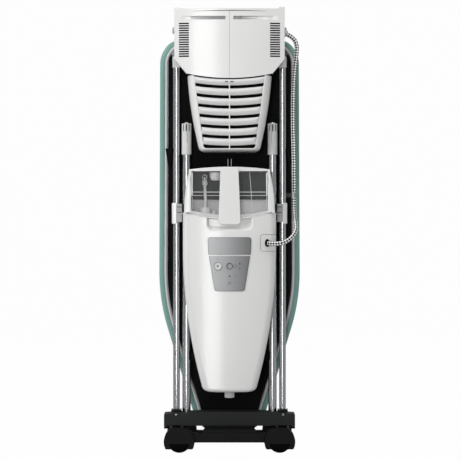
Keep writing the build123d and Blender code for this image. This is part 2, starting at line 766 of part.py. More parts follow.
def pivot_block():
    """The grey ribbed half of the clamp round an outer leg at the scissor pivot."""
    z0, z1 = PIVOT_Z - PIVOT_BLOCK_LOW, PIVOT_Z + PIVOT_BLOCK_HIGH
    y0, y1 = LEG_Y - PIVOT_BLOCK_HALF_Y, LEG_Y + PIVOT_BLOCK_HALF_Y
    block = box(PIVOT_BLOCK_IN, OUTER_X, y0, y1, z0, z1)
    block -= rod_z(z0 - OVER, z1 + OVER, OUTER_X, LEG_Y, OUTER_R)
    for share in (-1, 1):
        z = PIVOT_Z + share * PIVOT_BLOCK_HIGH / 3
        block -= box(PIVOT_BLOCK_IN - OVER, OUTER_X + OVER, y0 - OVER, y0 + PIVOT_RIB_DEPTH,
                     z - PIVOT_RIB_H / 2, z + PIVOT_RIB_H / 2)
    return block - rod_x(PIVOT_BLOCK_IN - OVER, OUTER_X + OVER, LEG_Y, PIVOT_Z, PIVOT_R)


def pivot_cover():
    """The white outer half of the clamp."""
    z0, z1 = PIVOT_Z - PIVOT_COVER_LOW, PIVOT_Z + PIVOT_COVER_HIGH
    y0, y1 = LEG_Y - PIVOT_BLOCK_HALF_Y, LEG_Y + PIVOT_BLOCK_HALF_Y
    shell = box(OUTER_X, PIVOT_COVER_OUT, y0, y1, z0, z1)
    edges = shell.edges().filter_by(Axis.Z).group_by(Axis.X)[-1]
    shell = fillet(edges, BRACKET_OUT_T)
    shell -= rod_z(z0 - OVER, z1 + OVER, OUTER_X, LEG_Y, OUTER_R)
    return shell - rod_x(OUTER_X - OVER, OUTER_X + OUTER_R + AIR, LEG_Y, PIVOT_Z, PIVOT_R)


def pivot_pin():
    """The headed pin that joins an outer leg to an inner one."""
    head = INNER_X - INNER_R - GAP
    pin = rod_x(head - PIVOT_HEAD_T, head, LEG_Y, PIVOT_Z, PIVOT_HEAD_R)
    return pin + rod_x(head, OUTER_X + OUTER_R + AIR, LEG_Y, PIVOT_Z, PIVOT_R)


# Wheeled base

def base_end(bar_low, bar_high, rise):
    """A wheel cover at each side and the bar between them, for the front end of the base."""
    y0, y1 = -BASE_HALF_Y, -BASE_INNER_Y
    pieces = None
    for s in (-1, 1):
        cover_disc = rod_y(y0, y1, s * WHEEL_X, WHEEL_R, HOOD_BASE_R)
        x0, x1 = s * WHEEL_X - 2 * HOOD_BASE_R, s * WHEEL_X + 2 * HOOD_BASE_R
        cover_disc &= box(x0, x1, y0 - OVER, y1 + OVER, HOOD_BASE_CUT, HOOD_BASE_TOP)
        pieces = cover_disc if pieces is None else pieces + cover_disc
    half = WHEEL_X - WHEEL_R - AIR
    edges = [
        Line((-half, bar_low), (half, bar_low)),
        Line((half, bar_low), (half, bar_high)),
        smile(half, bar_high + rise, bar_high) if rise else Line((half, bar_high), (-half, bar_high)),
        Line((-half, bar_high), (-half, bar_low)),
    ]
    body = pieces + slab(make_face(Wire(edges)), -BAR_FAR, -BAR_NEAR)
    body -= box(-half + BASE_WALL, half - BASE_WALL, -BAR_FAR + BASE_WALL, -BAR_NEAR - BASE_WALL,
                bar_low + BASE_WALL, bar_high - BASE_WALL)
    room = WHEEL_R + AIR
    for s in (-1, 1):
        x = s * WHEEL_X
        body -= rod_y(y0 + BASE_WALL, y1 - BASE_WALL, x, WHEEL_R, room)
        body -= box(x - room, x + room, y0 + BASE_WALL, y1 - BASE_WALL, 0, WHEEL_R)
        body -= rod_y(y0 - OVER, y1 + OVER, x, WHEEL_R, WHEEL_AXLE_R)
    return body


def side_rail():
    """The hollow rail from the front wheel to the rear one, with the socket of the outer leg."""
    rail = box(RAIL_IN, RAIL_OUT, -BASE_INNER_Y, BASE_INNER_Y, RAIL_LOW, RAIL_HIGH)
    rail += rod_z(RAIL_HIGH, RAIL_HIGH + SOCKET_H, OUTER_X, LEG_Y, SOCKET_R)
    rail -= box(RAIL_IN + BASE_WALL, RAIL_OUT - BASE_WALL, -BASE_INNER_Y + BASE_WALL,
                BASE_INNER_Y - BASE_WALL, RAIL_LOW + BASE_WALL, RAIL_HIGH - BASE_WALL)
    core = rod_z(RAIL_LOW, RAIL_HIGH, OUTER_X, LEG_Y, SOCKET_R)
    return rail + core - rod_z(OUTER_BOTTOM, RAIL_HIGH + SOCKET_H + OVER, OUTER_X, LEG_Y, OUTER_R)


def with_axles(end):
    """An end of the base with the axles of its two wheels."""
    y0, y1 = -BASE_HALF_Y, -BASE_INNER_Y
    return [end] + [rod_y(y0, y1, s * WHEEL_X, WHEEL_R, WHEEL_AXLE_R) for s in (-1, 1)]


def wheel(x, y):
    """A hub and a rubber tyre, as two solids."""
    hub = rod_y(y - WHEEL_W / 2, y + WHEEL_W / 2, x, WHEEL_R, WHEEL_HUB_R)
    hub -= rod_y(y - WHEEL_W, y + WHEEL_W, x, WHEEL_R, WHEEL_AXLE_R + FIT)
    tyre = rod_y(y - WHEEL_W / 2, y + WHEEL_W / 2, x, WHEEL_R, WHEEL_R)
    tyre = fillet(tyre.edges(), WHEEL_W / 6)
    return [hub, tyre - rod_y(y - WHEEL_W, y + WHEEL_W, x, WHEEL_R, WHEEL_HUB_R)]


# Inner leg frame

def inner_leg():
    tube = rod_z(INNER_BOTTOM, INNER_TOP, INNER_X, LEG_Y, INNER_R)
    tube -= rod_z(INNER_BOTTOM - OVER, INNER_TOP + OVER, INNER_X, LEG_Y, INNER_BORE)
    return tube - rod_x(INNER_X - 2 * INNER_R, INNER_X + 2 * INNER_R, LEG_Y, PIVOT_Z, PIVOT_R + FIT)


def leg_sleeve():
    """The plastic sleeve that guides the rod at the top of an inner leg."""
    z0, z1 = INNER_TOP - SLEEVE_L, INNER_TOP + SLEEVE_LID
    sleeve = rod_z(z0, z1, INNER_X, LEG_Y, SLEEVE_R)
    sleeve -= rod_z(z0 - OVER, INNER_TOP, INNER_X, LEG_Y, INNER_R)
    sleeve -= rod_z(INNER_TOP - OVER, z1 + OVER, INNER_X, LEG_Y, ROD_R + FIT)
    y0 = LEG_Y - SLEEVE_R - OVER
    return sleeve - box(INNER_X - SLEEVE_SLOT_W / 2, INNER_X + SLEEVE_SLOT_W / 2, y0, LEG_Y - INNER_R,
                        INNER_TOP - SLEEVE_SLOT_L, INNER_TOP - SLEEVE_LID)


def rod():
    """The telescopic rod, with the collar that slides in the tube."""
    shaft = rod_z(ROD_BOTTOM, INNER_TOP + SLEEVE_LID + ROD_TIP_H, INNER_X, LEG_Y, ROD_R)
    return shaft + rod_z(ROD_BOTTOM, ROD_BOTTOM + ROD_COLLAR_H, INNER_X, LEG_Y, INNER_BORE - FIT)


def foot_bar():
    """The hollow dark bar across the feet of the inner legs, slotted behind for the outer legs."""
    half = FOOT_HALF
    edges = [
        smile(half, FOOT_TOP_MID, FOOT_TOP_END),
        Line((half, FOOT_TOP_END), (half, FOOT_BOTTOM - FOOT_LIP)),
        Line((half, FOOT_BOTTOM - FOOT_LIP), (FOOT_LIP_IN, FOOT_BOTTOM - FOOT_LIP)),
        Line((FOOT_LIP_IN, FOOT_BOTTOM - FOOT_LIP), (FOOT_LIP_IN, FOOT_BOTTOM)),
        Line((FOOT_LIP_IN, FOOT_BOTTOM), (-FOOT_LIP_IN, FOOT_BOTTOM)),
        Line((-FOOT_LIP_IN, FOOT_BOTTOM), (-FOOT_LIP_IN, FOOT_BOTTOM - FOOT_LIP)),
        Line((-FOOT_LIP_IN, FOOT_BOTTOM - FOOT_LIP), (-half, FOOT_BOTTOM - FOOT_LIP)),
        Line((-half, FOOT_BOTTOM - FOOT_LIP), (-half, FOOT_TOP_END)),
    ]
    bar = slab(make_face(Wire(edges)), FOOT_FRONT, FOOT_BACK)
    inner = INNER_X - SLEEVE_R - FOOT_WALL
    bar -= box(-inner, inner, FOOT_FRONT + FOOT_WALL, FOOT_BACK - FOOT_WALL,
               FOOT_BOTTOM + FOOT_WALL, FOOT_TOP_END - FOOT_WALL)
    for s in (-1, 1):
        x = s * OUTER_X
        bar -= box(x - FOOT_SLOT_HALF, x + FOOT_SLOT_HALF, LEG_Y - FOOT_SLOT_HALF, FOOT_BACK + OVER,
                   FOOT_BOTTOM - 2 * OVER, FOOT_TOP_MID + OVER)
        bar -= rod_z(INNER_BOTTOM, FOOT_TOP_MID + OVER, s * INNER_X, LEG_Y, INNER_R)
    return bar


def foot_clips():
    """The black snap clips on the foot bar, which hold the outer legs when the table is folded."""
    clips = []
    for s in (-1, 1):
        x = s * OUTER_X
        z0, z1 = foot_top(OUTER_X - CLIP_HALF), foot_top(OUTER_X + CLIP_HALF) + GAP + CLIP_H
        clip = box(x - CLIP_HALF, x + CLIP_HALF, LEG_Y - CLIP_FRONT, LEG_Y + OUTER_R, z0, z1)
        clip -= box(x - FOOT_SLOT_HALF, x + FOOT_SLOT_HALF, LEG_Y - FOOT_SLOT_HALF,
                    LEG_Y + 2 * OUTER_R, z0 - OVER, z1 + OVER)
        clips.append(clip - rod_z(z0 - OVER, z1 + OVER, s * INNER_X, LEG_Y, INNER_R + AIR))
    return clips


def foot_top(x):
    """The height of the foot bar's curved top at a distance from the centre line."""
    rise = FOOT_TOP_MID - FOOT_TOP_END
    radius = (FOOT_HALF * FOOT_HALF + rise * rise) / (2 * rise)
    return FOOT_TOP_MID - radius + math.sqrt(radius * radius - x * x)


def foot_pads():
    pads = []
    for s in (-1, 1):
        x0, x1 = sorted((s * FOOT_LIP_IN, s * FOOT_HALF))
        z1 = FOOT_BOTTOM - FOOT_LIP
        pads.append(box(x0, x1, FOOT_FRONT, FOOT_BACK, z1 - FOOT_PAD_T, z1))
    return pads


def cradle_bars():
    """Two flat bars between the inner legs, which carry the steam generator."""
    half = INNER_X - INNER_R
    bars = []
    for z in (CRADLE_LOW_Z, CRADLE_HIGH_Z):
        bars.append(box(-half, half, GEN_BACK + BACK_T, GEN_BACK + BACK_T + CRADLE_T, z, z + CRADLE_H)
                    - rod_z(z - OVER, z + CRADLE_H + OVER, INNER_X, LEG_Y, INNER_R)
                    - rod_z(z - OVER, z + CRADLE_H + OVER, -INNER_X, LEG_Y, INNER_R))
    return bars


# Steam generator

def gen_outline(inset):
    """The generator's front view, which narrows in one long curve to its foot."""
    half, low = GEN_HALF - inset, GEN_LOW_HALF - inset
    bottom = GEN_BOTTOM + inset
    edges = [
        Line((half, GEN_TOP), (half, GEN_HALF_Z)),
        ThreePointArc((half, GEN_HALF_Z), (GEN_MID_HALF - inset, GEN_MID_Z), (low, bottom)),
        smile(low, bottom - GEN_BOTTOM_DROP, bottom),
        ThreePointArc((-low, bottom), (inset - GEN_MID_HALF, GEN_MID_Z), (-half, GEN_HALF_Z)),
        Line((-half, GEN_HALF_Z), (-half, GEN_TOP)),
        smile(half, GEN_TOP - GEN_TOP_SMILE, GEN_TOP),
    ]
    face = make_face(Wire(edges))
    corners = face.vertices().group_by(Axis.Y)[0]
    return fillet(corners, GEN_CORNER_R - inset)


def gen_solid(inset, back):
    """The generator's body, drawn in by a wall, with its front edges rounded."""
    body = slab(gen_outline(inset), GEN_FRONT + inset, back)
    front = body.faces().sort_by(Axis.Y)[0]
    edges = [e for e in front.edges() if e.center().Z < GEN_TOP - 2 * GEN_TOP_SMILE]
    return fillet(edges, GEN_ROUND - inset)


def gen_roof():
    """The height of the flat underside of the shell's top."""
    return GEN_TOP - GEN_TOP_SMILE - GEN_WALL


def generator_shell():
    """The white front shell, open at the back, with the panel recess and finger scoop."""
    roof = box(-GEN_HALF, GEN_HALF, GEN_FRONT, GEN_BACK + 2 * OVER, gen_roof(), GEN_TOP + OVER)
    shell = gen_solid(0, GEN_BACK) - (gen_solid(GEN_WALL, GEN_BACK + OVER) - roof)
    recess_back = GEN_FRONT + RECESS_DEPTH
    rim = GEN_WALL
    shell += box(-RECESS_HALF - rim, RECESS_HALF + rim, GEN_FRONT + rim, recess_back + rim,
                 RECESS_BOTTOM - rim, gen_roof())
    shell -= box(-RECESS_HALF, RECESS_HALF, GEN_FRONT - OVER, recess_back, RECESS_BOTTOM, GEN_TOP + OVER)
    for x, radius in ((POWER_X, POWER_R), (0, STEAM_R)):
        shell -= rod_y(GEN_FRONT - OVER, GEN_FRONT + GEN_WALL + OVER, x, BUTTON_Z, radius + BUTTON_GAP)
    shell -= outlet_rod(0, OUTLET_L, OUTLET_R)
    return shell - rod_z(GEN_BOTTOM - 2 * GEN_BOTTOM_DROP, GEN_BOTTOM + OVER, 0, gen_mid_y(), DRAIN_NECK_R)


def gen_mid_y():
    return (GEN_FRONT + GEN_BACK) / 2


def outlet_rod(near, far, radius):
    """A round rod back from the lower end of the hose, along its slanted axis."""
    return along(HOSE_LOWER[0], Vector(HOSE_LOWER[0]) * 2 - Vector(HOSE_LOWER[1]), near, far, radius)


def generator_back():
    """The flat back plate and the gland where the mains lead goes in."""
    plate = slab(gen_outline(GEN_WALL + FIT), GEN_BACK - BACK_T, GEN_BACK)
    plate -= box(-GEN_HALF, GEN_HALF, GEN_BACK - 2 * BACK_T, GEN_BACK + OVER,
                 gen_roof() - FIT, GEN_TOP + OVER)
    gland = rod_y(GEN_BACK, GEN_BACK + MAINS_GLAND_L, 0, MAINS_GLAND_Z, MAINS_GLAND_R)
    gland -= rod_y(GEN_BACK + BACK_T, GEN_BACK + 2 * MAINS_GLAND_L, 0, MAINS_GLAND_Z, MAINS_BORE_R)
    return [plate, gland]


def boiler():
    y = gen_mid_y()
    tank = rod_x(-BOILER_L / 2, BOILER_L / 2, y, BOILER_Z, BOILER_R)
    tank = fillet(tank.edges().filter_by(GeomType.CIRCLE), BOILER_R / 3)
    tank += rod_x(-BOILER_SEAM, BOILER_SEAM, y, BOILER_Z, BOILER_R + BOILER_SEAM)
    return tank + box(-BOILER_R, BOILER_R, y, GEN_BACK - BACK_T, BOILER_Z - OVER, BOILER_Z + OVER)


def pump():
    y = gen_mid_y()
    body = rod_x(-PUMP_L / 2, PUMP_L / 2, y, PUMP_Z, PUMP_R)
    body += rod_x(PUMP_L / 2, PUMP_L / 2 + PUMP_R, y, PUMP_Z, PUMP_R / 3)
    return body + box(-PUMP_R, PUMP_R, y, GEN_BACK - BACK_T, PUMP_Z - OVER, PUMP_Z + OVER)


def drain_cap():
    z1 = GEN_BOTTOM - GEN_BOTTOM_DROP - GAP
    y = gen_mid_y()
    cap = rod_z(z1 - DRAIN_H, z1, 0, y, DRAIN_R)
    cap = fillet(cap.edges().group_by(Axis.Z)[0], DRAIN_R / 4)
    return cap + rod_z(z1, GEN_BOTTOM + OVER, 0, y, DRAIN_NECK_R - FIT)


def hose_outlet():
    """The grommet on the slanted outlet."""
    return outlet_rod(0, OUTLET_L, OUTLET_R)


# Water tank

def tank_outline(inset):
    """The tank's front view: a curved floor that seats on the generator, and sloping sides."""
    low, high = TANK_HALF_LOW - PILLAR_W - inset, TANK_HALF_TOP - PILLAR_W - inset
    z0, z1 = seat_z(low) + inset, TANK_TOP - inset
    edges = [
        Line((-high, z1), (high, z1)),
        Line((high, z1), (low, z0)),
        smile(low, seat_z(0) + inset, z0),
        Line((-low, z0), (-high, z1)),
    ]
    return make_face(Wire(edges))


def seat_z(x):
    """The height of the tank's underside, just clear of the generator's curved top."""
    radius = (GEN_HALF**2 + GEN_TOP_SMILE**2) / (2 * GEN_TOP_SMILE)
    return GEN_TOP - GEN_TOP_SMILE + radius - math.sqrt(radius**2 - x**2) + TANK_SEAT


def tank_shell():
    outer = slab(tank_outline(0), TANK_FRONT, TANK_BACK)
    inner = slab(tank_outline(TANK_WALL), TANK_FRONT + TANK_WALL, TANK_BACK - TANK_WALL)
    return outer - inner


def tank_frame():
    """The white frame of the tank: its lid, its side pillars and the handle tongue in front."""
    points = [
        (TANK_HALF_TOP, TANK_TOP),
        (TANK_HALF_LOW, seat_z(TANK_HALF_LOW)),
        (TANK_HALF_LOW - PILLAR_W, seat_z(TANK_HALF_LOW - PILLAR_W)),
        (TANK_HALF_TOP - PILLAR_W, TANK_TOP),
    ]
    right = slab(make_face(Polyline(*points, close=True)), TANK_FRONT, TANK_BACK)
    half = TANK_HALF_TOP
    edges = [
        Line((-half, TANK_TOP), (half, TANK_TOP)),
        Line((half, TANK_TOP), (half, TANK_TOP + LID_T - LID_ARCH / 2)),
        smile(half, TANK_TOP + LID_T + LID_ARCH / 2, TANK_TOP + LID_T - LID_ARCH / 2),
        Line((-half, TANK_TOP + LID_T - LID_ARCH / 2), (-half, TANK_TOP)),
    ]
    lid = slab(make_face(Wire(edges)), TANK_FRONT, TANK_BACK)
    tongue = rounded(
        [(-TONGUE_HALF_TOP, TANK_TOP + LID_T), (TONGUE_HALF_TOP, TANK_TOP + LID_T),
         (TONGUE_HALF_LOW, TONGUE_BOTTOM), (-TONGUE_HALF_LOW, TONGUE_BOTTOM)],
        [0, 0, TONGUE_R, TONGUE_R])
    handle = slab(tongue, TANK_FRONT - TONGUE_T, TANK_FRONT)
    return lid + right + mirror(right, about=Plane.YZ) + handle


def suction_filter():
    """The filter at the tank's floor, the suction pipe and its valve."""
    z0 = seat_z(FILTER_R - FILTER_X) + TANK_WALL + GAP
    z1 = z0 + FILTER_H
    body = rod_z(z0, z1, FILTER_X, FILTER_Y, FILTER_R)
    pipe = rod_z(z1, PIPE_TOP, FILTER_X, FILTER_Y, PIPE_R)
    return body + pipe + rod_z(VALVE_Z, VALVE_Z + VALVE_H, FILTER_X, FILTER_Y, VALVE_R)


# Control panel

def panel_plates():
    """The two silver plates on the front."""
    y0, y1 = GEN_FRONT - PLATE_T, GEN_FRONT
    upper = rounded(
        [(-PLATE_HALF_TOP, PLATE_TOP), (PLATE_HALF_TOP, PLATE_TOP),
         (PLATE_HALF_MID + AIR, PLATE_MID), (-PLATE_HALF_MID - AIR, PLATE_MID)],
        [PLATE_R, PLATE_R, AIR, AIR])
    lower = rounded(
        [(-PLATE_HALF_MID, PLATE_MID - PLATE_GAP), (PLATE_HALF_MID, PLATE_MID - PLATE_GAP),
         (PLATE_HALF_LOW, PLATE_BOTTOM), (-PLATE_HALF_LOW, PLATE_BOTTOM)],
        [AIR, AIR, PLATE_R, PLATE_R])
    low_plate = slab(lower, y0, y1)
    for x, radius in ((POWER_X, POWER_R), (0, STEAM_R)):
        low_plate -= rod_y(y0 - OVER, y1 + OVER, x, BUTTON_Z, radius + BUTTON_GAP)
    return [slab(upper, y0, y1), low_plate]


def button(x, radius):
    y0 = GEN_FRONT - PLATE_T - BUTTON_RISE
    key = rod_y(y0, GEN_FRONT + BUTTON_BODY, x, BUTTON_Z, radius)
    return fillet(key.edges().group_by(Axis.Y)[0], PLATE_T / 2)


def switch_board():
    """The board behind the panel that carries both switches, on four posts from the front wall."""
    y0 = GEN_FRONT + BUTTON_BODY + BUTTON_TRAVEL + GAP
    half = 2 * POWER_R
    board = box(POWER_X - half, half, y0, y0 + PLATE_T, BUTTON_Z - half, BUTTON_Z + half)
    for x in (POWER_X - half + SCREW_R, half - SCREW_R):
        for z in (BUTTON_Z - half + SCREW_R, BUTTON_Z + half - SCREW_R):
            board += rod_y(GEN_FRONT + GEN_WALL, y0, x, z, SCREW_R)
    return board


# Steam hose

def bend_radii(points):
    """The largest arc that each corner's two runs allow."""
    radii = []
    for a, b, c in zip(points, points[1:], points[2:]):
        run_in, run_out = Vector(b) - Vector(a), Vector(c) - Vector(b)
        turn = math.radians(run_in.get_angle(run_out))
        radii.append(0.45 * min(run_in.length, run_out.length) / math.tan(turn / 2))
    return radii


def hose(points):
    """A tube along straight runs and tangent arcs."""
    radii = bend_radii(points)
    path = FilletPolyline(*points, radius=radii)
    tube = sweep(Plane(origin=path @ 0, z_dir=path % 0) * Circle(HOSE_R), path)
    print("hose radii", [round(r) for r in radii], "length", round(path.length),
          "volume ratio", round(tube.volume / (math.pi * HOSE_R**2 * path.length), 4))
    return tube


def parted(tube, across, place):
    """The tube on each side of a plane square to X or Z."""
    far = 4 * HINGE_Z
    if across == "x":
        low = box(-far, place, -far, far, -far, far)
    else:
        low = box(-far, far, -far, far, -far, place)
    return tube & low, tube - low


def hose_clip():
    """The clip on the right outer leg, in which the hose is held."""
    x, y = HOSE_UPPER[0][0], HOSE_UPPER[0][1]
    clip = rod_z(CLIP_Z_LOW, CLIP_Z_HIGH, x, y, HOSE_R + CLIP_WALL)
    clip += box(OUTER_X + OUTER_R, x, y, LEG_Y, CLIP_Z_LOW + CLIP_WALL, CLIP_Z_HIGH - CLIP_WALL)
    clip += rod_z(CLIP_Z_LOW, CLIP_Z_HIGH, OUTER_X, LEG_Y, OUTER_R + CLIP_WALL)
    return clip - rod_z(CLIP_Z_LOW - OVER, CLIP_Z_HIGH + OVER, OUTER_X, LEG_Y, OUTER_R)


def along(start, towards, near, far, radius):
    """A round rod along the line of a hose end, measured from that end."""
    plane = Plane(start, z_dir=Vector(towards) - Vector(start))
    return plane * Pos(0, 0, (near + far) / 2) * Cylinder(radius, far - near)


def gland_rod(near, far, radius):
    """A round rod that carries on from the upper end of the hose."""
    return along(HOSE_UPPER[-1], Vector(HOSE_UPPER[-1]) * 2 - Vector(HOSE_UPPER[-2]), near, far, radius)


def rest_gland():
    """The gland in the right wall of the iron rest, and the lead from it to the iron."""
    lead = gland_rod(0, 2 * REST_HALF, IRON_LEAD_R)
    lead -= box(-REST_HALF, IRON_HEEL_X, REST_FLOOR_Y, REST_LIP_Y, REST_LEDGE_Z, 2 * REST_TOP)
    lead &= box(-REST_HALF, 2 * REST_HALF, REST_FLOOR_Y, REST_LIP_Y, REST_LEDGE_Z, REST_TOP)
    return gland_rod(0, GLAND_L, GLAND_R) + lead


# Iron

def iron_outline(inset):
    """The pointed outline of the soleplate, its tip to the left."""
    heel, tip = IRON_HEEL_X - inset, IRON_TIP_X + inset
    half = IRON_HALF - inset
    shoulder = heel - IRON_HEEL_R * 2
    edges = [
        Line((heel, IRON_Z - half), (heel, IRON_Z + half)),
        Line((heel, IRON_Z + half), (shoulder, IRON_Z + half)),
        bow(shoulder, tip, half, 1),
        Line((tip, IRON_Z + IRON_TIP_R), (tip, IRON_Z - IRON_TIP_R)),
        bow(shoulder, tip, half, -1),
        Line((shoulder, IRON_Z - half), (heel, IRON_Z - half)),
    ]
    return make_face(Wire(edges))


def bow(shoulder, tip, half, side):
    """The long curve from the shoulder of the soleplate to its tip."""
    middle = (shoulder + tip) / 2
    rise = (half + IRON_TIP_R) / 2 + half / 4
    ends = [(shoulder, IRON_Z + side * half), (tip, IRON_Z + side * IRON_TIP_R)]
    return ThreePointArc(ends[0], (middle, IRON_Z + side * rise), ends[1])


def iron_sole_y():
    return REST_FLOOR_Y + REST_WALL + MAT_T


def iron_soleplate():
    y = iron_sole_y()
    return slab(iron_outline(0), y, y + IRON_SOLE_T)


def iron_body():
    """The iron's shell, drawn in towards the handle, and the handle on its two posts."""
    y = iron_sole_y() + IRON_SOLE_T
    top = y + IRON_BODY_H
    low = Plane.XZ.offset(-y) * iron_outline(IRON_BODY_INSET / 2)
    high = Plane.XZ.offset(-top) * iron_outline(2 * IRON_BODY_INSET)
    body = loft([low, high], ruled=True)
    handle_y = y + IRON_HANDLE_Y + IRON_HANDLE_R
    x1 = IRON_HEEL_X - 2 * IRON_BODY_INSET
    x0 = x1 - IRON_HANDLE_L
    z0, z1 = IRON_Z - IRON_POST_T / 2, IRON_Z + IRON_POST_T / 2
    for x in (x0, x1 - IRON_POST_W):
        body += box(x, x + IRON_POST_W, top - OVER, handle_y, z0, z1)
    body += rod_x(x0, x1, handle_y, IRON_Z, IRON_HANDLE_R)
    button_x = x0 + IRON_POST_W * 2
    body -= rod_y(handle_y + IRON_HANDLE_R - IRON_BUTTON_H, handle_y + IRON_HANDLE_R + OVER,
                  button_x, IRON_Z, IRON_BUTTON_R + BUTTON_GAP)
    return body


def iron_button():
    """The steam button on top of the handle."""
    y = iron_sole_y() + IRON_SOLE_T + IRON_HANDLE_Y + 2 * IRON_HANDLE_R
    x = IRON_HEEL_X - 2 * IRON_BODY_INSET - IRON_HANDLE_L + IRON_POST_W * 2
    key = rod_y(y - IRON_BUTTON_H + BUTTON_TRAVEL + GAP, y + BUTTON_TRAVEL, x, IRON_Z, IRON_BUTTON_R)
    return fillet(key.edges().group_by(Axis.Y)[-1], PLATE_T / 2)


def model():
    """All the nodes, each a list of solids."""
    nodes = {
        "board_deck": deck(),
        "vacuum_tray": vacuum_tray(),
        "board_pad": pad(),
        "board_cover": cover(),
        "cover_hem": hem(),
        "rest_housing": rest_housing(),
        "rest_mat": rest_mat(),
        "iron_hood": hood(),
        "fan_housing": fan_housing(),
        "fan_motor": fan_motor(),
        "fan_wheel": fan_wheel(),
        "base_front": with_axles(base_end(FRONT_BAR_LOW, FRONT_BAR_HIGH, FRONT_BAR_RISE)),
        "base_rear": [mirror(piece, about=Plane.XZ)
                      for piece in with_axles(base_end(REAR_BAR_LOW, REAR_BAR_HIGH, 0))],
        "foot_bar": foot_bar(),
        "foot_clips": foot_clips(),
        "foot_pads": foot_pads(),
        "cradle_bars": cradle_bars(),
        "generator_shell": generator_shell(),
        "generator_back": generator_back(),
        "boiler": boiler(),
        "pump": pump(),
        "drain_cap": drain_cap(),
        "hose_outlet": hose_outlet(),
        "tank_shell": tank_shell(),
        "tank_frame": tank_frame(),
        "suction_filter": suction_filter(),
        "panel_plates": panel_plates(),
        "power_button": button(POWER_X, POWER_R),
        "steam_button": button(0, STEAM_R),
        "switch_board": switch_board(),
        "hose_clip": hose_clip(),
        "rest_gland": rest_gland(),
        "iron_soleplate": iron_soleplate(),
        "iron_body": iron_body(),
        "iron_button": iron_button(),
    }
    for x, side in ((-WHEEL_X, "left"), (WHEEL_X, "right")):
        for y, end in ((-WHEEL_Y, "front"), (WHEEL_Y, "rear")):
            nodes[f"wheel_{end}_{side}"] = wheel(x, y)
    pairs = {"outer_leg": outer_leg, "inner_leg": inner_leg, "leg_rod": rod, "side_rail": side_rail}
    for name, make in pairs.items():
        for side in ("left", "right"):
            nodes[f"{name}_{side}"] = flip(make(), side)
    groups = {
        "board_hooks": hook,
        "rod_racks": rack,
        "hinge_brackets": hinge_bracket,
        "hinge_pins": hinge_pin,
        "leg_blocks": leg_block,
        "leg_sleeves": leg_sleeve,
        "pivot_blocks": pivot_block,
        "pivot_covers": pivot_cover,
        "pivot_pins": pivot_pin,
    }
    for name, make in groups.items():
        nodes[name] = both_sides(make)
    nodes["hose_start"], nodes["hose_bend"] = parted(hose(HOSE_LOWER), "x", HOSE_SEAM_X)
    nodes["hose_rise"], nodes["hose_end"] = parted(hose(HOSE_UPPER), "z", HINGE_Z)
    return nodes


def write(nodes):
    os.makedirs("parts", exist_ok=True)
    for name, shape in nodes.items():
        solids = []
        for s in shape if isinstance(shape, list) else [shape]:
            solids += list(s.solids())
        whole = solids[0] if len(solids) == 1 else Compound(solids)
        export_step(whole, f"parts/{name}.step")


write(model())
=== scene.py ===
import json
import math

import bmesh
import bpy
import numpy as np
from bpy.props import FloatProperty, FloatVectorProperty, IntProperty, PointerProperty
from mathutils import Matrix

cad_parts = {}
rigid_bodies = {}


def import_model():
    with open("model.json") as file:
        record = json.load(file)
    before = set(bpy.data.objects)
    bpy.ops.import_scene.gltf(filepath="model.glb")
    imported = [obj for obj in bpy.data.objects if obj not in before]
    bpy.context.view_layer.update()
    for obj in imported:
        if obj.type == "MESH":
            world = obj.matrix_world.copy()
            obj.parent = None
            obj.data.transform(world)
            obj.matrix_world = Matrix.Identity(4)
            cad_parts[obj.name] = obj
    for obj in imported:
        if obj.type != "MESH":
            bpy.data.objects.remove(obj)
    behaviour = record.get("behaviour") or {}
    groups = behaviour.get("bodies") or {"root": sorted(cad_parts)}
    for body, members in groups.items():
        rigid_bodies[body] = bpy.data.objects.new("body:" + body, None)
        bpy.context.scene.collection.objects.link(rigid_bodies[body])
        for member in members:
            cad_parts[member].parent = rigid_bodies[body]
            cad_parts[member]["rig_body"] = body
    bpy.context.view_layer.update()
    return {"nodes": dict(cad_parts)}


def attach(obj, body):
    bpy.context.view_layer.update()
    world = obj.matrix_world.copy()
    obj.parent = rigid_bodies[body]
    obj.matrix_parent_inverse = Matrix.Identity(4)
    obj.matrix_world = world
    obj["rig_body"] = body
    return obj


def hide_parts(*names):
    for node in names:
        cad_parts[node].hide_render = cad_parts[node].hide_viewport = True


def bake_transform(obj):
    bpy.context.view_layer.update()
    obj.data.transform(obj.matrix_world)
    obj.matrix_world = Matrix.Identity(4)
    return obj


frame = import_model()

bl_info = {
    "name": "Folding vacuum ironing table",
    "version": (1, 0, 0),
    "blender": (4, 5, 0),
    "location": "View3D > Sidebar > Ironing Table",
    "description": "Dresses a folded ironing table with its steam generator, board cover, legs and hose",
    "category": "Object",
}

# All sizes below are millimetres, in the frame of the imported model: X right, Y away, Z up.
MM = 0.001

# The board's outline: the corners of its right half from the heel to the nose, and the radius of each
BOARD_CORNERS = [(178, 1232), (212, 1186), (215, 438), (92, 35)]
BOARD_RADII = [50, 80, 600, 75]
LEAST_RADIUS = 5
CORNER_POINTS = 20
SIDE_POINTS = 36
# The notch at its heel, with the columns of points along the notch's foot and across each arm beside it
NOTCH_HALF = 166
NOTCH_Z = 1182.5
NOTCH_COLUMNS = 28
ARM_COLUMNS = 6

# The board's layers
IRONING_Y = 67.5
UNDER_Y = 50
UNDER_RADIUS = 9
TURN_UNDER = 16
COVER_T = 1.2
HEM_INSET = 20
HEM_Y = 50.75
HEM_HALF_WIDTH = 4
HEM_HALF_HEIGHT = 2
PAD_LOW_Y = 56
PAD_HIGH_Y = 65.7
PAD_INSET = 2
PAD_ROUND = 2
PAD_MARGIN = 1.8
TRAY_Y = 26
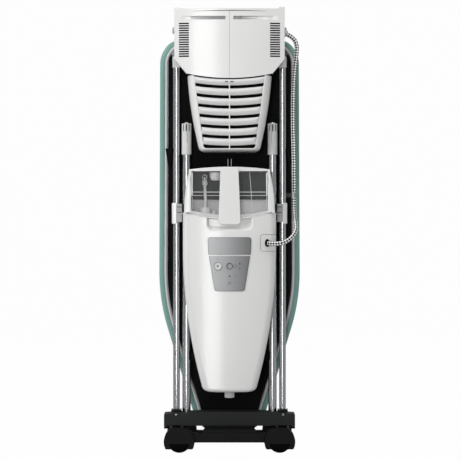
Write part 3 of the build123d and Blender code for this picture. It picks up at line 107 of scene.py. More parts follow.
# Gathers of the cover's edge and of its hem, as (length of a radian, phase, height)
COVER_GATHERS = ((4.7, 0, 0.35), (2.1, 1.3, 0.21), (1.8, 4, 0.175))
HEM_GATHERS = ((4.7, 0, 0.25), (2.3, 1, 0.25))
GATHERS_FROM = 3

# Hooks for the lead, and the tray's latch
HOOK_X = 182
HOOK_FOOT_Z = 836
HOOK_H = 61
HOOK_FOOT_SHARE = 0.25
LATCH_XS = (-4.5, 5.4)
LATCH_LOW = 846
LATCH_TOP = 868

# Iron rest: its front is bent between the vents, and the bend fades out behind FADE_Y
REST_HALF = 163
REST_CROWN = 7
REST_FOOT = 1102
REST_TOP = 1300
RIDGE_Y = -96
FADE_Y = -45
FADE_REACH = 30
VENT_EDGE = 114
VENT_X = (119.6, 149.4)
VENT_TOP = 1263.4
VENT_PITCH = 6.9
VENT_H = 4.1
VENTS = 15
GRIP_X = (10, 142)
GRIP_Z = (1271, 1285)
GRIP_DEPTH = 17
HOOD_PIVOT = (0, 20, 1256)

# Fan grille: each outline as half width at the top and at the foot, foot height and foot radius
GRILLE_Y = -95
GRILLE_TOP = 1109
GRILLE_INNER = (104.5, 75.5, 893, 9)
GRILLE_FACE = (106.5, 76.5, 891, 11)
GRILLE_BASE = (125.5, 90, 885, 14)
GRILLE_BULGE = 0.045
GRILLE_FLANK = 42
SLOT_TOP = 1074
SLOT_PITCH = 29.6
SLOT_H = 8
SLOT_CURVE = 700
SLAT_ROUND = 9
FACE_TOP = 1092
FACE_LOW = 889
FACE_HALF = (105, 74)

# Legs: where the tubes stand, and each tube as outer radius, inner radius, foot and top
LEG_Y = -22
OUTER_X = 159
INNER_X = 129
OUTER_TUBE = (10, 8.5, 44, 1169)
INNER_TUBE = (12.5, 11, 76, 968)
SLEEVE_FACE = 13.9
SLEEVE_SLOT_Z = (948, 968.5)
SEAM_DEPTH = 17.1

# Steam generator
GEN_FRONT = -132
GEN_BACK = -36
GEN_TOP = 703
GEN_LOW = 180
GEN_HALF = 137
GEN_LOW_HALF = 77
GEN_SIDE = ((GEN_HALF, 610), (122, 391), (GEN_LOW_HALF, GEN_LOW))
GEN_SMILE = 19
SMILE_FROM = 600
GEN_DROP = 3
DROP_REACH = 60
GEN_EDGE = 20
GEN_CORNER = 11
GEN_FOOT_EDGE = 9
GEN_WALL = 2.5
SIDE_COLUMNS = 7
SCOOP_HALF = 65
SCOOP_LOW = 650
SCOOP_DEPTH = 11.5
OUTLET_X = 110.5
OUTLET_Z = 614
OUTLET_FRAME = (90, 136.6, 590, 639)

# Control panel
PLATE_T = 1.5
UPPER_PLATE = [(-64.5, 631), (64.5, 631), (62, 580), (-62, 580)]
LOWER_PLATE = [(-60.5, 576), (60.5, 576), (44, 473), (-44, 473)]
POWER_X = -34
BUTTON_Z = 546.5
POWER_R = 13.2
STEAM_R = 10

# Water tank, and the suction filter, pipe and filler in it
TANK_FLOOR_HALF = 122
TANK_FLOOR_LIFT = 3.2
SILL_Z = 742
CHEEK_Z = (704, 823)
FILTER_X = -73
FILTER_Y = -88
FILLER_AT = (-40, -96, 0)

# Base, foot bar and wheels
FOOT_SCREW_Z = 104
WHEEL_X = 147
WHEEL_Y = 118
WHEEL_R = 33.5
WHEEL_W = 24
HUB_R = 22
OPENING_R = 30.5
OPENING_Y = -140.2
OPENING_FOOT = 12.6

# Profiles of turned parts, as (radius, place along the axis)
HOOD_KNOB = [(0, 158), (9, 158), (9, 164), (9.6, 165), (9.6, 171), (8.6, 172.5), (4, 173), (0, 173)]
SLIDE_ROD = [(0, 724), (10.9, 724), (10.9, 748), (7, 749), (7, 974), (6, 975), (0, 975)]
FOOT_SCREW = [(0, -62.2), (1.6, -62.2), (2.2, -61.4), (3.4, -61.8), (4.2, -60.8), (4.4, -59.8), (0, -59.8)]
GROMMET = [(0, -124), (11, -124), (11.4, -128), (10.4, -130.5), (8.5, -131), (7.8, -136), (7.4, -141),
           (0, -141)]
FILTER_BODY = [(0, 0), (15, 0), (16, 1), (16, 20), (14.5, 23), (5, 24), (0, 24)]
FILTER_VALVE = [(0, 781), (4, 781), (8, 785), (8.4, 795), (7, 798), (3.5, 799), (3, 808), (0, 808)]
FLOOR_KNOB = [(0, 0), (6, 0), (6.5, 1), (6.5, 12), (3, 13), (3, 17), (0, 17)]
FILLER_CUP = [(0, 797), (12, 798), (17, 803), (19, 811), (19, 821), (0, 821)]
# Sections carried straight across, as (Y, Z)
BAR_RIDGE = ((-125, 58), (-125, 66.5), (-123, 68.5), (-109, 68.5), (-107, 66.5), (-107, 58), (-125, 58))

# Steam hose: its route, point by point, below and above the clip on the leg
HOSE_LOWER = [(113, -139, 614), (143, -156, 610), (175, -157, 623), (194, -142, 647),
              (194, -114, 671), (193, -80, 684), (192, -55, 711), (192, -55, 748)]
HOSE_UPPER = [(192, -55, 764), (192, -55, 830), (191, -52, 900), (189, -46, 970),
              (190, -34, 1035), (192, -18, 1095), (197, -10, 1150), (203, -10, 1192),
              (201, -11, 1214), (190, -14, 1231), (172, -15, 1240)]
DIAMONDS_ROUND = 5
DIAMOND_PITCH = 7.8
HOSE_SIDES = 32
HOSE_STEP = 1.6

# The stage in metres and watts, with each lamp's name, place, aim, width, height, power and mirroring
CAMERA_AT = (0.0015, -4.222, 0.652)
LENS, SENSOR = 109.57, 36
SWEEP_FRONT, SWEEP_BEND, SWEEP_RADIUS, SWEEP_TOP, SWEEP_HALF = -1.4, 5.5, 1.5, 6.0, 8.0
LAMPS = (
    ("key_strip", (-0.45, -3.9, 0.75), (0, 0, 0.7), 0.45, 2.7, 39, True),
    ("top_soft", (-0.2, -1.4, 3.4), (0, 0, 0.7), 2.2, 1.6, 42, False),
    ("left_soft", (-2.6, -1.2, 1.3), (0, 0, 0.6), 0.9, 2.2, 42, False),
    ("right_soft", (2.6, -1.0, 1.2), (0, 0, 0.6), 0.6, 2.0, 13, False),
    ("back_soft", (-0.6, 2.4, 2.6), (0, 0, 0.7), 2.4, 1.6, 62, False),
)


# Colours and nodes

def linear(code):
    """The linear colour of an sRGB hex value: v / 12.92 near black, ((v + 0.055) / 1.055) ** 2.4 above."""
    parts = [int(code[i:i + 2], 16) / 255 for i in (1, 3, 5)]
    return tuple(v / 12.92 if v <= 0.04045 else ((v + 0.055) / 1.055) ** 2.4 for v in parts)


def add(tree, kind, values=None, links=None, **settings):
    """A node with its settings, its own socket values, and links from other nodes' sockets."""
    node = tree.nodes.new(kind)
    for key, value in settings.items():
        setattr(node, key, value)
    for key, value in (values or {}).items():
        node.inputs[key].default_value = value
    for key, socket in (links or {}).items():
        tree.links.new(socket, node.inputs[key])
    return node


def per_mm(size):
    """The scale of a pattern on Object coordinates, in metres, for features of a size in millimetres."""
    return 1 / (size * MM)


def shader_of(name, colour, **sockets):
    """A new material's tree and shader. What is the same all over is set on the shader's own sockets."""
    material = bpy.data.materials.new(name)
    material.use_nodes = True
    shader = material.node_tree.nodes["Principled BSDF"]
    shader.inputs["Base Color"].default_value = (*colour[:3], 1)
    for key, value in sockets.items():
        shader.inputs[key.replace("_", " ")].default_value = value
    material.diffuse_color = (*colour[:3], 1)
    return material, material.node_tree, shader


def mottle(tree, shader, colour, low, high, size, stretch=(1, 1, 1)):
    """Colour between low and high times the base, by a soft noise with features of a size."""
    coords = add(tree, "ShaderNodeTexCoord")
    turned = add(tree, "ShaderNodeMapping", {"Scale": stretch}, {"Vector": coords.outputs["Object"]})
    noise = add(tree, "ShaderNodeTexNoise", {"Scale": per_mm(size), "Detail": 3.0},
                {"Vector": turned.outputs["Vector"]})
    tones = [tuple(min(1, c * k) for c in colour[:3]) + (1,) for k in (low, high)]
    mix = add(tree, "ShaderNodeMix", {6: tones[0], 7: tones[1]}, {"Factor": noise.outputs["Fac"]},
              data_type="RGBA")
    tree.links.new(mix.outputs[2], shader.inputs["Base Color"])
    return turned


def relief(tree, shader, height, depth, strength=1.0):
    """A bump of a depth in millimetres from a height between 0 and 1."""
    bump = add(tree, "ShaderNodeBump", {"Strength": strength, "Distance": depth * MM}, {"Height": height})
    tree.links.new(bump.outputs["Normal"], shader.inputs["Normal"])


def roughness_between(tree, shader, low, high, value):
    """Roughness that runs from low to high with a value between 0 and 1."""
    spread = add(tree, "ShaderNodeMapRange", {"To Min": low, "To Max": high}, {"Value": value})
    tree.links.new(spread.outputs["Result"], shader.inputs["Roughness"])


# Finishes. Each takes its name and gives the material.

def moulded(colour, roughness, coat, grain_mm=1.4, grain_depth=0.012, tone=0.03, ior=1.5):
    """A maker of moulded plastic: a fine eroded grain softens the highlight, with a slight flow tone."""
    def make(name):
        material, tree, shader = shader_of(name, colour(), IOR=ior, Roughness=roughness)
        shader.inputs["Coat Weight"].default_value = coat
        shader.inputs["Coat Roughness"].default_value = 0.12
        coords = mottle(tree, shader, colour(), 1 - tone, 1 + tone, 90)
        # Real grain is about 0.1 mm, drawn coarser so that it shows.
        grain = add(tree, "ShaderNodeTexNoise", {"Scale": per_mm(grain_mm), "Detail": 2.0},
                    {"Vector": coords.outputs["Vector"]})
        relief(tree, shader, grain.outputs["Fac"], grain_depth)
        smudge = add(tree, "ShaderNodeTexNoise", {"Scale": per_mm(45), "Detail": 4.0},
                     {"Vector": coords.outputs["Vector"]})
        roughness_between(tree, shader, roughness * 0.85, roughness * 1.2, smudge.outputs["Fac"])
        return material
    return make


def drawn_metal(colour, low, high, stretch, streak_mm=2.5, depth=0.006):
    """A maker of drawn or brushed metal: streaks along one direction vary the roughness and, with a depth,
    scratch the surface."""
    def make(name):
        material, tree, shader = shader_of(name, colour(), Metallic=1.0)
        coords = mottle(tree, shader, colour(), 0.95, 1.03, 60, stretch)
        streak = add(tree, "ShaderNodeTexNoise", {"Scale": per_mm(streak_mm), "Detail": 3.0},
                     {"Vector": coords.outputs["Vector"]})
        roughness_between(tree, shader, low, high, streak.outputs["Fac"])
        if depth:
            relief(tree, shader, streak.outputs["Fac"], depth)
        return material
    return make


def clear_plastic(name):
    """Clear styrene of the water tank: it only tints what is behind it and glints along its edges."""
    colour = linear("#DCE0E0")
    material, tree, shader = shader_of(name, colour, IOR=1.57, Roughness=0.04, Alpha=0.035)
    coords = add(tree, "ShaderNodeTexCoord")
    haze = add(tree, "ShaderNodeTexNoise", {"Scale": per_mm(30), "Detail": 2.0},
               {"Vector": coords.outputs["Object"]})
    relief(tree, shader, haze.outputs["Fac"], 0.01)
    return material


def woven_cover(name):
    """Plain-woven coated cotton: warp and weft cross in a fine check, with a soft sheen and some fading."""
    sizes, colour = table().sizes, tuple(table().colours.cover)
    material, tree, shader = shader_of(name, colour, IOR=1.45, Roughness=0.82)
    shader.inputs["Sheen Weight"].default_value = 0.25
    shader.inputs["Sheen Roughness"].default_value = 0.5
    coords = add(tree, "ShaderNodeUVMap", uv_map="cloth")
    # Real threads are 0.5 mm apart, drawn five times as coarse to show. One wave spans two threads.
    scale = 1 / (sizes.thread_pitch * 2)
    threads = []
    for axis in "XY":
        wave = add(tree, "ShaderNodeTexWave", {"Scale": scale, "Distortion": 0.6, "Detail": 1.0},
                   {"Vector": coords.outputs["UV"]}, bands_direction=axis)
        threads.append(wave.outputs["Fac"])
    weave = add(tree, "ShaderNodeMath", None, {0: threads[0], 1: threads[1]}, operation="MULTIPLY")
    fade = add(tree, "ShaderNodeTexNoise", {"Scale": 9.0, "Detail": 4.0}, {"Vector": coords.outputs["UV"]})
    dark = tuple(c * 0.86 for c in colour) + (1,)
    light = tuple(min(1, c * 1.07) for c in colour) + (1,)
    tone = add(tree, "ShaderNodeMix", {6: dark, 7: light}, {"Factor": fade.outputs["Fac"]}, data_type="RGBA")
    crossed = add(tree, "ShaderNodeMix", {7: dark}, {6: tone.outputs[2], "Factor": weave.outputs["Value"]},
                  data_type="RGBA")
    tree.links.new(crossed.outputs[2], shader.inputs["Base Color"])
    relief(tree, shader, weave.outputs["Value"], 0.25, 0.7)
    return material


def felt(colour, fibre_mm=3.0, depth=0.5):
    """A maker of pressed felt: short fibres in all directions over a cloudy tone."""
    def make(name):
        material, tree, shader = shader_of(name, colour(), IOR=1.4, Roughness=0.95)
        shader.inputs["Sheen Weight"].default_value = 0.3
        coords = mottle(tree, shader, colour(), 0.9, 1.05, 25)
        fibre = add(tree, "ShaderNodeTexNoise", {"Scale": per_mm(fibre_mm), "Detail": 6.0, "Roughness": 0.7},
                    {"Vector": coords.outputs["Vector"]})
        relief(tree, shader, fibre.outputs["Fac"], depth, 0.8)
        return material
    return make


def checked_braid(name):
    """Two-colour braided sleeve: black and pale yarns cross on the slant in small diamonds."""
    dark, light = tuple(table().colours.braid_dark), tuple(table().colours.braid_light)
    material, tree, shader = shader_of(name, dark, IOR=1.45, Roughness=0.72)
    coords = add(tree, "ShaderNodeUVMap", uv_map="braid")
    # U counts diamonds round the hose and V counts them along it.
    parts = add(tree, "ShaderNodeSeparateXYZ", None, {"Vector": coords.outputs["UV"]})
    one = add(tree, "ShaderNodeMath", None, {0: parts.outputs["X"], 1: parts.outputs["Y"]}, operation="ADD")
    other = add(tree, "ShaderNodeMath", None, {0: parts.outputs["X"], 1: parts.outputs["Y"]},
                operation="SUBTRACT")
    slant = add(tree, "ShaderNodeCombineXYZ", {"Z": 0.5},
                {"X": one.outputs["Value"], "Y": other.outputs["Value"]})
    cells = add(tree, "ShaderNodeTexChecker", {"Color1": (*dark, 1), "Color2": (*light, 1), "Scale": 1.0},
                {"Vector": slant.outputs["Vector"]})
    tree.links.new(cells.outputs["Color"], shader.inputs["Base Color"])
    yarn = add(tree, "ShaderNodeTexWave", {"Scale": 1.2, "Distortion": 0.3},
               {"Vector": slant.outputs["Vector"]},
               bands_direction="X")
    relief(tree, shader, yarn.outputs["Fac"], 0.1, 0.4)
    return material


def shaded_silver_film(name):
    """Silver lacquered polycarbonate film over the controls, painted pale at its left and darker towards its
    right: painted light and shade in its colour.
    """
    colour = tuple(table().colours.panel)
    material, tree, shader = shader_of(name, colour, Metallic=0.55, Roughness=0.42)
    coords = add(tree, "ShaderNodeTexCoord")
    parts = add(tree, "ShaderNodeSeparateXYZ", None, {"Vector": coords.outputs["Object"]})
    # Painted shading: the base colour darkens from the left towards the right, as if lit from the left.
    share = add(tree, "ShaderNodeMapRange", {"From Min": -0.06, "From Max": 0.05},
                {"Value": parts.outputs["X"]})
    ends = [tuple(c * k for c in colour) + (1,) for k in (1.15, 0.55)]
    tone = add(tree, "ShaderNodeMix", {6: ends[0], 7: ends[1]}, {"Factor": share.outputs["Result"]},
               data_type="RGBA")
    tree.links.new(tone.outputs[2], shader.inputs["Base Color"])
    flake = add(tree, "ShaderNodeTexNoise", {"Scale": per_mm(1.2), "Detail": 1.0},
                {"Vector": coords.outputs["Object"]})
    relief(tree, shader, flake.outputs["Fac"], 0.01)
    return material


FINISHES = {
    # Glossy white ABS of the rest, grille, generator and tank frame: bright highlight bands on its curves.
    "moulded_abs_white": moulded(lambda: tuple(table().colours.shell), 0.34, 0.55),
    # Matt pale grey polypropylene of the sleeves and clamps.
    "moulded_pp_grey": moulded(lambda: tuple(table().colours.fittings), 0.48, 0.1),
    # Mid-grey glass-filled nylon of the pivot blocks and the tank's floor.
    "moulded_nylon_grey": moulded(lambda: linear("#A3A5A5"), 0.5, 0.05),
    # Dark grey polypropylene of the foot bar, with a satin shine.
    "moulded_pp_dark": moulded(lambda: tuple(table().colours.foot), 0.5, 0.0, tone=0.08, ior=1.3),
    # Near-black polypropylene of the wheeled base and the clips.
    "moulded_pp_black": moulded(lambda: tuple(table().colours.base), 0.46, 0.0, tone=0.1, ior=1.25),
    # Black powder-coated sheet steel of the tray, brackets and cradle: fine orange peel.
    "powder_coated_steel": moulded(lambda: linear("#050506"), 0.62, 0.0, grain_mm=2.5, grain_depth=0.03,
                                   ior=1.2),
    # Chromed steel tube: nearly a mirror, drawn lengthwise.
    "chromed_steel_tube": drawn_metal(lambda: linear("#C4C6C8"), 0.14, 0.18, (1, 1, 0.0005), 4.0, 0.0),
    # Zinc-plated steel of the pins and screws.
    "zinc_plated_steel": drawn_metal(lambda: linear("#A9ABAD"), 0.25, 0.4, (1, 0.3, 1)),
    # Stainless steel of the boiler.
    "stainless_steel": drawn_metal(lambda: linear("#B4B6B8"), 0.2, 0.35, (0.05, 1, 1)),
    # Brushed aluminium of the soleplate.
    "brushed_aluminium": drawn_metal(lambda: linear("#C2C4C6"), 0.28, 0.42, (0.04, 1, 1)),
    # Galvanised perforated sheet of the deck.
    "galvanised_sheet": drawn_metal(lambda: linear("#8E9294"), 0.4, 0.6, (1, 1, 1), 12.0, 0.05),
    # Cast metal of the fan's motor.
    "cast_metal": drawn_metal(lambda: linear("#6E7072"), 0.45, 0.65, (1, 1, 1), 3.0, 0.08),
    # Moulded rubber of the tyres, pads, mat and grommet: dull black with a dusty tone. The same black is
    # painted shade in the vents, behind the grille's slots, in the wheel openings and under the rest's foot.
    "moulded_rubber": moulded(lambda: linear("#070707"), 0.8, 0.0, 2.2, 0.06, 0.15, 1.15),
    # Dark ink of the marks and signs. The same dark is painted shade in slits, slots, between ribs and
    # under the rest's top edge.
    "printed_ink": moulded(lambda: linear("#2B2D2F"), 0.6, 0.0),
    # Grey painted shade in the grooves of the rest's seam and the outlet's engraved outline.
    "seam_grey": moulded(lambda: linear("#8A8C8C"), 0.6, 0.0),
    "clear_styrene": clear_plastic,
    "woven_cotton_cover": woven_cover,
    # Pinkish-grey felted tape of the cover's hem.
    "felted_tape": felt(lambda: tuple(table().colours.hem)),
    # Off-white needle felt of the pad.
    "needle_felt": felt(lambda: linear("#C9C4B8"), 4.0, 0.8),
    "checked_braid": checked_braid,
    "silver_film": shaded_silver_film,
}


def finish(name):
    """The material of that name, made when it is first asked for."""
    return bpy.data.materials.get(name) or FINISHES[name](name)


# Surfaces on grids

def body_of(node):
    """The name of the body that a node moves with."""
    return frame["nodes"][node]["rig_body"]


def xyz(x, y, z):
    """Points from their coordinates, each spread over the others' rows and columns."""
    return np.stack(np.broadcast_arrays(*(np.asarray(part, float) for part in (x, y, z))), -1)


def quads(grid, start=0):
    """A grid's faces (i, j), (i, j+1), (i+1, j+1), (i+1, j), with its points numbered from start."""
    rows, columns = grid.shape[:2]
    corner = start + np.arange(rows * columns).reshape(rows, columns)[:-1, :-1]
    return np.stack([corner, corner + 1, corner + columns + 1, corner + columns], -1).reshape(-1, 4)


def put(name, grids, material, body, hides=(), uvs=None, uv_name="UVMap", sharp=40, merge=0.004):
    """A piece from grids of points (rows, columns, 3) in millimetres. Points nearer than merge are made
    one, which closes seams and poles, and the faces are turned outwards."""
    points, faces, start = [], [], 0
    for grid in grids:
        faces.append(quads(grid, start))
        points.append(grid.reshape(-1, 3))
        start += grid.shape[0] * grid.shape[1]
    mesh = bpy.data.meshes.new(name)
    mesh.from_pydata(np.concatenate(points) * MM, [], np.concatenate(faces).tolist())
    if uvs is not None:
        layer = mesh.uv_layers.new(name=uv_name)
        corners = np.empty(len(mesh.loops), np.int32)
        mesh.loops.foreach_get("vertex_index", corners)
        flat = np.concatenate([uv.reshape(-1, 2) for uv in uvs])
        layer.data.foreach_set("uv", flat[corners].astype(np.float32).ravel())
    cleaned(mesh, merge, sharp)
    return set_out(name, mesh, material, body, hides)


def cleaned(mesh, merge, sharp, flat_angle=None, cuts=()):
    """Merges doubles, joins flat faces, cuts along planes of constant X, and turns the faces outwards."""
    work = bmesh.new()
    work.from_mesh(mesh)
    bmesh.ops.remove_doubles(work, verts=work.verts, dist=merge * MM)
    bmesh.ops.dissolve_degenerate(work, edges=work.edges, dist=merge * MM / 2)
    if flat_angle:
        bmesh.ops.dissolve_limit(work, angle_limit=math.radians(flat_angle), verts=work.verts,
                                 edges=work.edges)
    for x in cuts:
        everything = work.verts[:] + work.edges[:] + work.faces[:]
        bmesh.ops.bisect_plane(work, geom=everything, plane_co=(x * MM, 0, 0), plane_no=(1, 0, 0))
    bmesh.ops.recalc_face_normals(work, faces=work.faces)
    # An open shell's volume about its own middle is negative while its faces look inwards.
    points = np.empty(len(mesh.vertices) * 3)
    mesh.vertices.foreach_get("co", points)
    middle = points.reshape(-1, 3).mean(0)
    bmesh.ops.translate(work, verts=work.verts, vec=-middle)
    if work.calc_volume(signed=True) < 0:
        bmesh.ops.reverse_faces(work, faces=work.faces)
    bmesh.ops.translate(work, verts=work.verts, vec=middle)
    work.to_mesh(mesh)
    work.free()
    mesh.shade_smooth()
    mesh.set_sharp_from_angle(angle=math.radians(sharp))


def set_out(name, mesh, material, body, hides):
    """An object for a finished mesh, at the origin, that rides on its body, fills its slot and stands for
    the nodes it hides."""
    piece = bpy.data.objects.new(name, mesh)
    bpy.context.scene.collection.objects.link(piece)
    mesh.materials.append(finish(material))
    if body:
        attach(piece, body)
    if hides:
        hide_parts(*hides)
    return piece


def thicken(piece, name, thickness):
    """Gives a piece's surface a wall of a thickness in millimetres, inwards."""
    wall = piece.modifiers.new(name, "SOLIDIFY")
    wall.thickness = thickness * MM
    wall.offset = -1


def rounded_copy(node, material, radius, name, cuts=(), bend=None, angle=32):
    """A node's own mesh with its doubles merged, flat faces joined and sharp edges rounded by a small
    bevel. With cuts, it is first divided at those X, and bend moves its points as a function of their
    place."""
    source = frame["nodes"][node].data
    points = np.empty(len(source.vertices) * 3)
    source.vertices.foreach_get("co", points)
    corners = np.empty(len(source.loops), np.int32)
    source.loops.foreach_get("vertex_index", corners)
    mesh = bpy.data.meshes.new(name)
    mesh.from_pydata(points.reshape(-1, 3), [], corners.reshape(-1, 3).tolist())
    cleaned(mesh, 0.01, angle, 0.6, cuts)
    if bend:
        moved = np.empty(len(mesh.vertices) * 3)
        mesh.vertices.foreach_get("co", moved)
        mesh.vertices.foreach_set("co", (bend(moved.reshape(-1, 3) / MM) * MM).ravel())
        mesh.update()
    piece = set_out(name, mesh, material, body_of(node), (node,))
    bevel = piece.modifiers.new("rounded_edges", "BEVEL")
    bevel.width = radius * table().sizes.edge_round
    bevel.segments = 2
    bevel.limit_method = "ANGLE"
    bevel.angle_limit = math.radians(angle)
    bevel.use_clamp_overlap = False
    bevel.harden_normals = True


def lathe(profile, centre, axis, sides=48):
    """Points centre + along * axis + radius * (cos t, sin t) across it, for each (radius, along) of a
    profile and t round a full turn."""
    profile = np.asarray(profile, float)
    t = np.linspace(0, 2 * np.pi, sides + 1)
    k = "xyz".index(axis)
    grid = np.empty((len(profile), sides + 1, 3))
    grid[..., k] = profile[:, 1, None]
    grid[..., (k + 1) % 3] = profile[:, 0, None] * np.cos(t)
    grid[..., (k + 2) % 3] = profile[:, 0, None] * np.sin(t)
    grid[:, -1] = grid[:, 0]
    return grid + np.asarray(centre, float)


def rod(radius, low, high, edge=0.6, steps=4):
    """A rod's profile: a flat end, a quarter circle, the straight side, a quarter circle and a flat end."""
    a = np.linspace(0, np.pi / 2, steps)
    first = np.stack([radius - edge + edge * np.sin(a), low + edge - edge * np.cos(a)], -1)
    last = np.stack([radius - edge + edge * np.cos(a), high - edge + edge * np.sin(a)], -1)
    return np.concatenate([[[0, low]], first, last, [[0, high]]])


def pipe_profile(outer, inner, low, high, edge=0.5):
    """A tube's wall as one closed profile, outside, end, inside, end, with a point every 25 mm."""
    steps = np.linspace(low + edge, high - edge, int((high - low) / 25) + 2)
    return [(outer, z) for z in steps] + [(outer - edge, high)] + [(inner, z) for z in steps[::-1]] + \
        [(inner, low), (outer - edge, low), (outer, low + edge)]


def tube(path, radius, sides=24):
    """Points path(i) + radius(i) * (cos t * u + sin t * v), where u and v are carried along the path
    without turning about it: each u is the one before it, less its part along the new direction."""
    path = np.asarray(path, float)
    along = np.gradient(path, axis=0)
    along /= np.linalg.norm(along, axis=1, keepdims=True)
    start = np.cross(along[0], (0.0, 0.0, 1.0) if abs(along[0, 2]) < 0.9 else (0.0, 1.0, 0.0))
    us = [start / np.linalg.norm(start)]
    for direction in along[1:]:
        u = us[-1] - direction * (us[-1] @ direction)
        us.append(u / np.linalg.norm(u))
    u = np.array(us)[:, None]
    v = np.cross(along, np.array(us))[:, None]
    t = np.linspace(0, 2 * np.pi, sides + 1)[None, :, None]
    size = np.broadcast_to(np.asarray(radius, float), (len(path),))[:, None, None]
    grid = path[:, None] + size * (np.cos(t) * u + np.sin(t) * v)
    grid[:, -1] = grid[:, 0]
    ends = [np.repeat(path[i][None, None], grid.shape[1], axis=1) for i in (0, -1)]
    return np.concatenate([ends[0], grid, ends[1]])


def ends_of(grid):
    """Fans that close both ends of a grid whose rows go round."""
    return [np.stack([grid[:, k], np.repeat(grid[:, k].mean(0)[None], len(grid), 0)]) for k in (0, -1)]


def tapered(top_half, top, low_half, low):
    """Clockwise corners of a symmetrical shape with a flat top and a flat foot."""
    return [(-top_half, top), (top_half, top), (low_half, low), (-low_half, low)]


def rectangle(x0, x1, low, top):
    """Clockwise corners of a rectangle."""
    return [(x0, top), (x1, top), (x1, low), (x0, low)]


def rounded_outline(corners, radii, arc=12, side=10):
    """A closed clockwise outline: at each corner an arc of its radius, met by straight sides. The arc's
    centre is one radius in from both sides, and its points turn from one side's normal to the next
    one's."""
    corners = np.asarray(corners, float)
    radii = np.broadcast_to(np.asarray(radii, float), len(corners))[:, None]
    after = np.roll(corners, -1, axis=0) - corners
    after /= np.linalg.norm(after, axis=1, keepdims=True)
    before = np.roll(after, 1, axis=0)
    n0, n1 = (np.stack([d[:, 1], -d[:, 0]], -1) for d in (before, after))
    turn = np.arccos(np.clip((before * after).sum(1), -1, 1))[:, None]
    centre = corners - before * radii * np.tan(turn / 2) + n0 * radii
    share = np.linspace(0, 1, arc)[None, :, None]
    angle = turn[:, None] * share
    normal = n0[:, None] * np.sin(turn[:, None] - angle) + n1[:, None] * np.sin(angle)
    normal = normal / np.sin(turn[:, None])
    arcs = centre[:, None] - normal * radii[:, None]
    along = np.linspace(0, 1, side + 2)[None, 1:-1, None]
    sides = arcs[:, -1:] * (1 - along) + np.roll(arcs, -1, axis=0)[:, :1] * along
    return np.concatenate([arcs, sides], axis=1).reshape(-1, 2)


def drawn_in(corners, inset):
    """Corners of a convex clockwise outline with every side moved inwards by an inset."""
    corners = np.asarray(corners, float)
    after = np.roll(corners, -1, axis=0) - corners
    after /= np.linalg.norm(after, axis=1, keepdims=True)
    n1 = np.stack([after[:, 1], -after[:, 0]], -1)
    n0 = np.roll(n1, 1, axis=0)
    return corners + inset * (n0 + n1) / (1 + (n0 * n1).sum(1, keepdims=True))


def board_outline(inset, margin=0.0):
    """The board's outline drawn in by an inset, from the heel notch's right corner down round the nose and
    up to its left corner, with the same number of points for every inset. It keeps out of the notch widened
    by a margin."""
    corners = BOARD_CORNERS + [(-x, z) for x, z in reversed(BOARD_CORNERS)]
    radii = [max(r - inset, LEAST_RADIUS) for r in BOARD_RADII + BOARD_RADII[::-1]]
    ring = rounded_outline(drawn_in(corners, inset), radii, CORNER_POINTS, SIDE_POINTS)[:-SIDE_POINTS]
    half = NOTCH_HALF + margin
    top = np.interp(half, *ring[:CORNER_POINTS].T)
    kept_out = np.sign(ring[:, 0]) * np.maximum(np.abs(ring[:, 0]), half)
    ring[:, 0] = np.where(ring[:, 1] > NOTCH_Z, kept_out, ring[:, 0])
    ring[:, 1] = np.minimum(ring[:, 1], top)
    return np.concatenate([[(half, top)], ring, [(-half, top)]])


def board_face(inset, y, margin):
    """The flat of the board at a depth y: a row at each height of the outline's points, wide as the outline
    there, and above the notch's foot only its two arms. Columns keep their share of the width, so that all
    rows match."""
    line = board_outline(inset, margin)
    right = line[:len(line) // 2]
    heights, row = np.unique(np.round(right[:, 1], 4), return_inverse=True)
    widths = np.zeros(len(heights))
    np.maximum.at(widths, row, right[:, 0])
    foot, half = NOTCH_Z - margin, NOTCH_HALF + margin
    z = np.append(heights[heights < foot], foot)
    wide = np.interp(z, heights, widths)[:, None]
    edge = half / wide[-1, 0]
    share = np.concatenate([np.linspace(-1, -edge, ARM_COLUMNS)[:-1], np.linspace(-edge, edge, NOTCH_COLUMNS),
                            np.linspace(edge, 1, ARM_COLUMNS)[1:]])[None]
    x = wide * share
    x[0] = np.linspace(-1, 1, share.shape[1]) * wide[0]
    grids = [xyz(x, y, z[:, None])]
    z = np.insert(heights[heights > foot], 0, foot)
    wide = np.interp(z, heights, widths)[:, None]
    across = np.linspace(0, 1, ARM_COLUMNS)[None]
    for s in (-1, 1):
        x = s * (half + (np.maximum(wide, half + 0.01) - half) * across)
        grids.append(xyz(x, y, z[:, None]))
    return grids


def distance_along(line):
    """The distance of each point of a line from its first, along the line."""
    return np.concatenate([[0], np.cumsum(np.linalg.norm(np.diff(line, axis=0), axis=1))])


def waves(run, gathers):
    """The sum of height * sin(run / length + phase) over the gathers."""
    return sum(height * np.sin(run / length + phase) for length, phase, height in gathers)


def board_band(profile, gathers=(), margin=0.0):
    """The profile, as (inset, y) pairs, carried along the board's outline, and its cloth coordinates.
    Gathers lift and drop its inner part, more and more from GATHERS_FROM inwards."""
    profile = np.asarray(profile, float)
    lines = np.stack([board_outline(inset, margin) for inset in profile[:, 0]])
    run = distance_along(lines[0])
    share = np.clip((profile[:, :1] - GATHERS_FROM) / TURN_UNDER, 0, 1)
    grid = xyz(lines[..., 0], profile[:, 1:] + share * waves(run, gathers), lines[..., 1])
    uv = np.stack(np.broadcast_arrays(run[None] * MM, distance_along(profile)[:, None] * MM), -1)
    return grid, uv


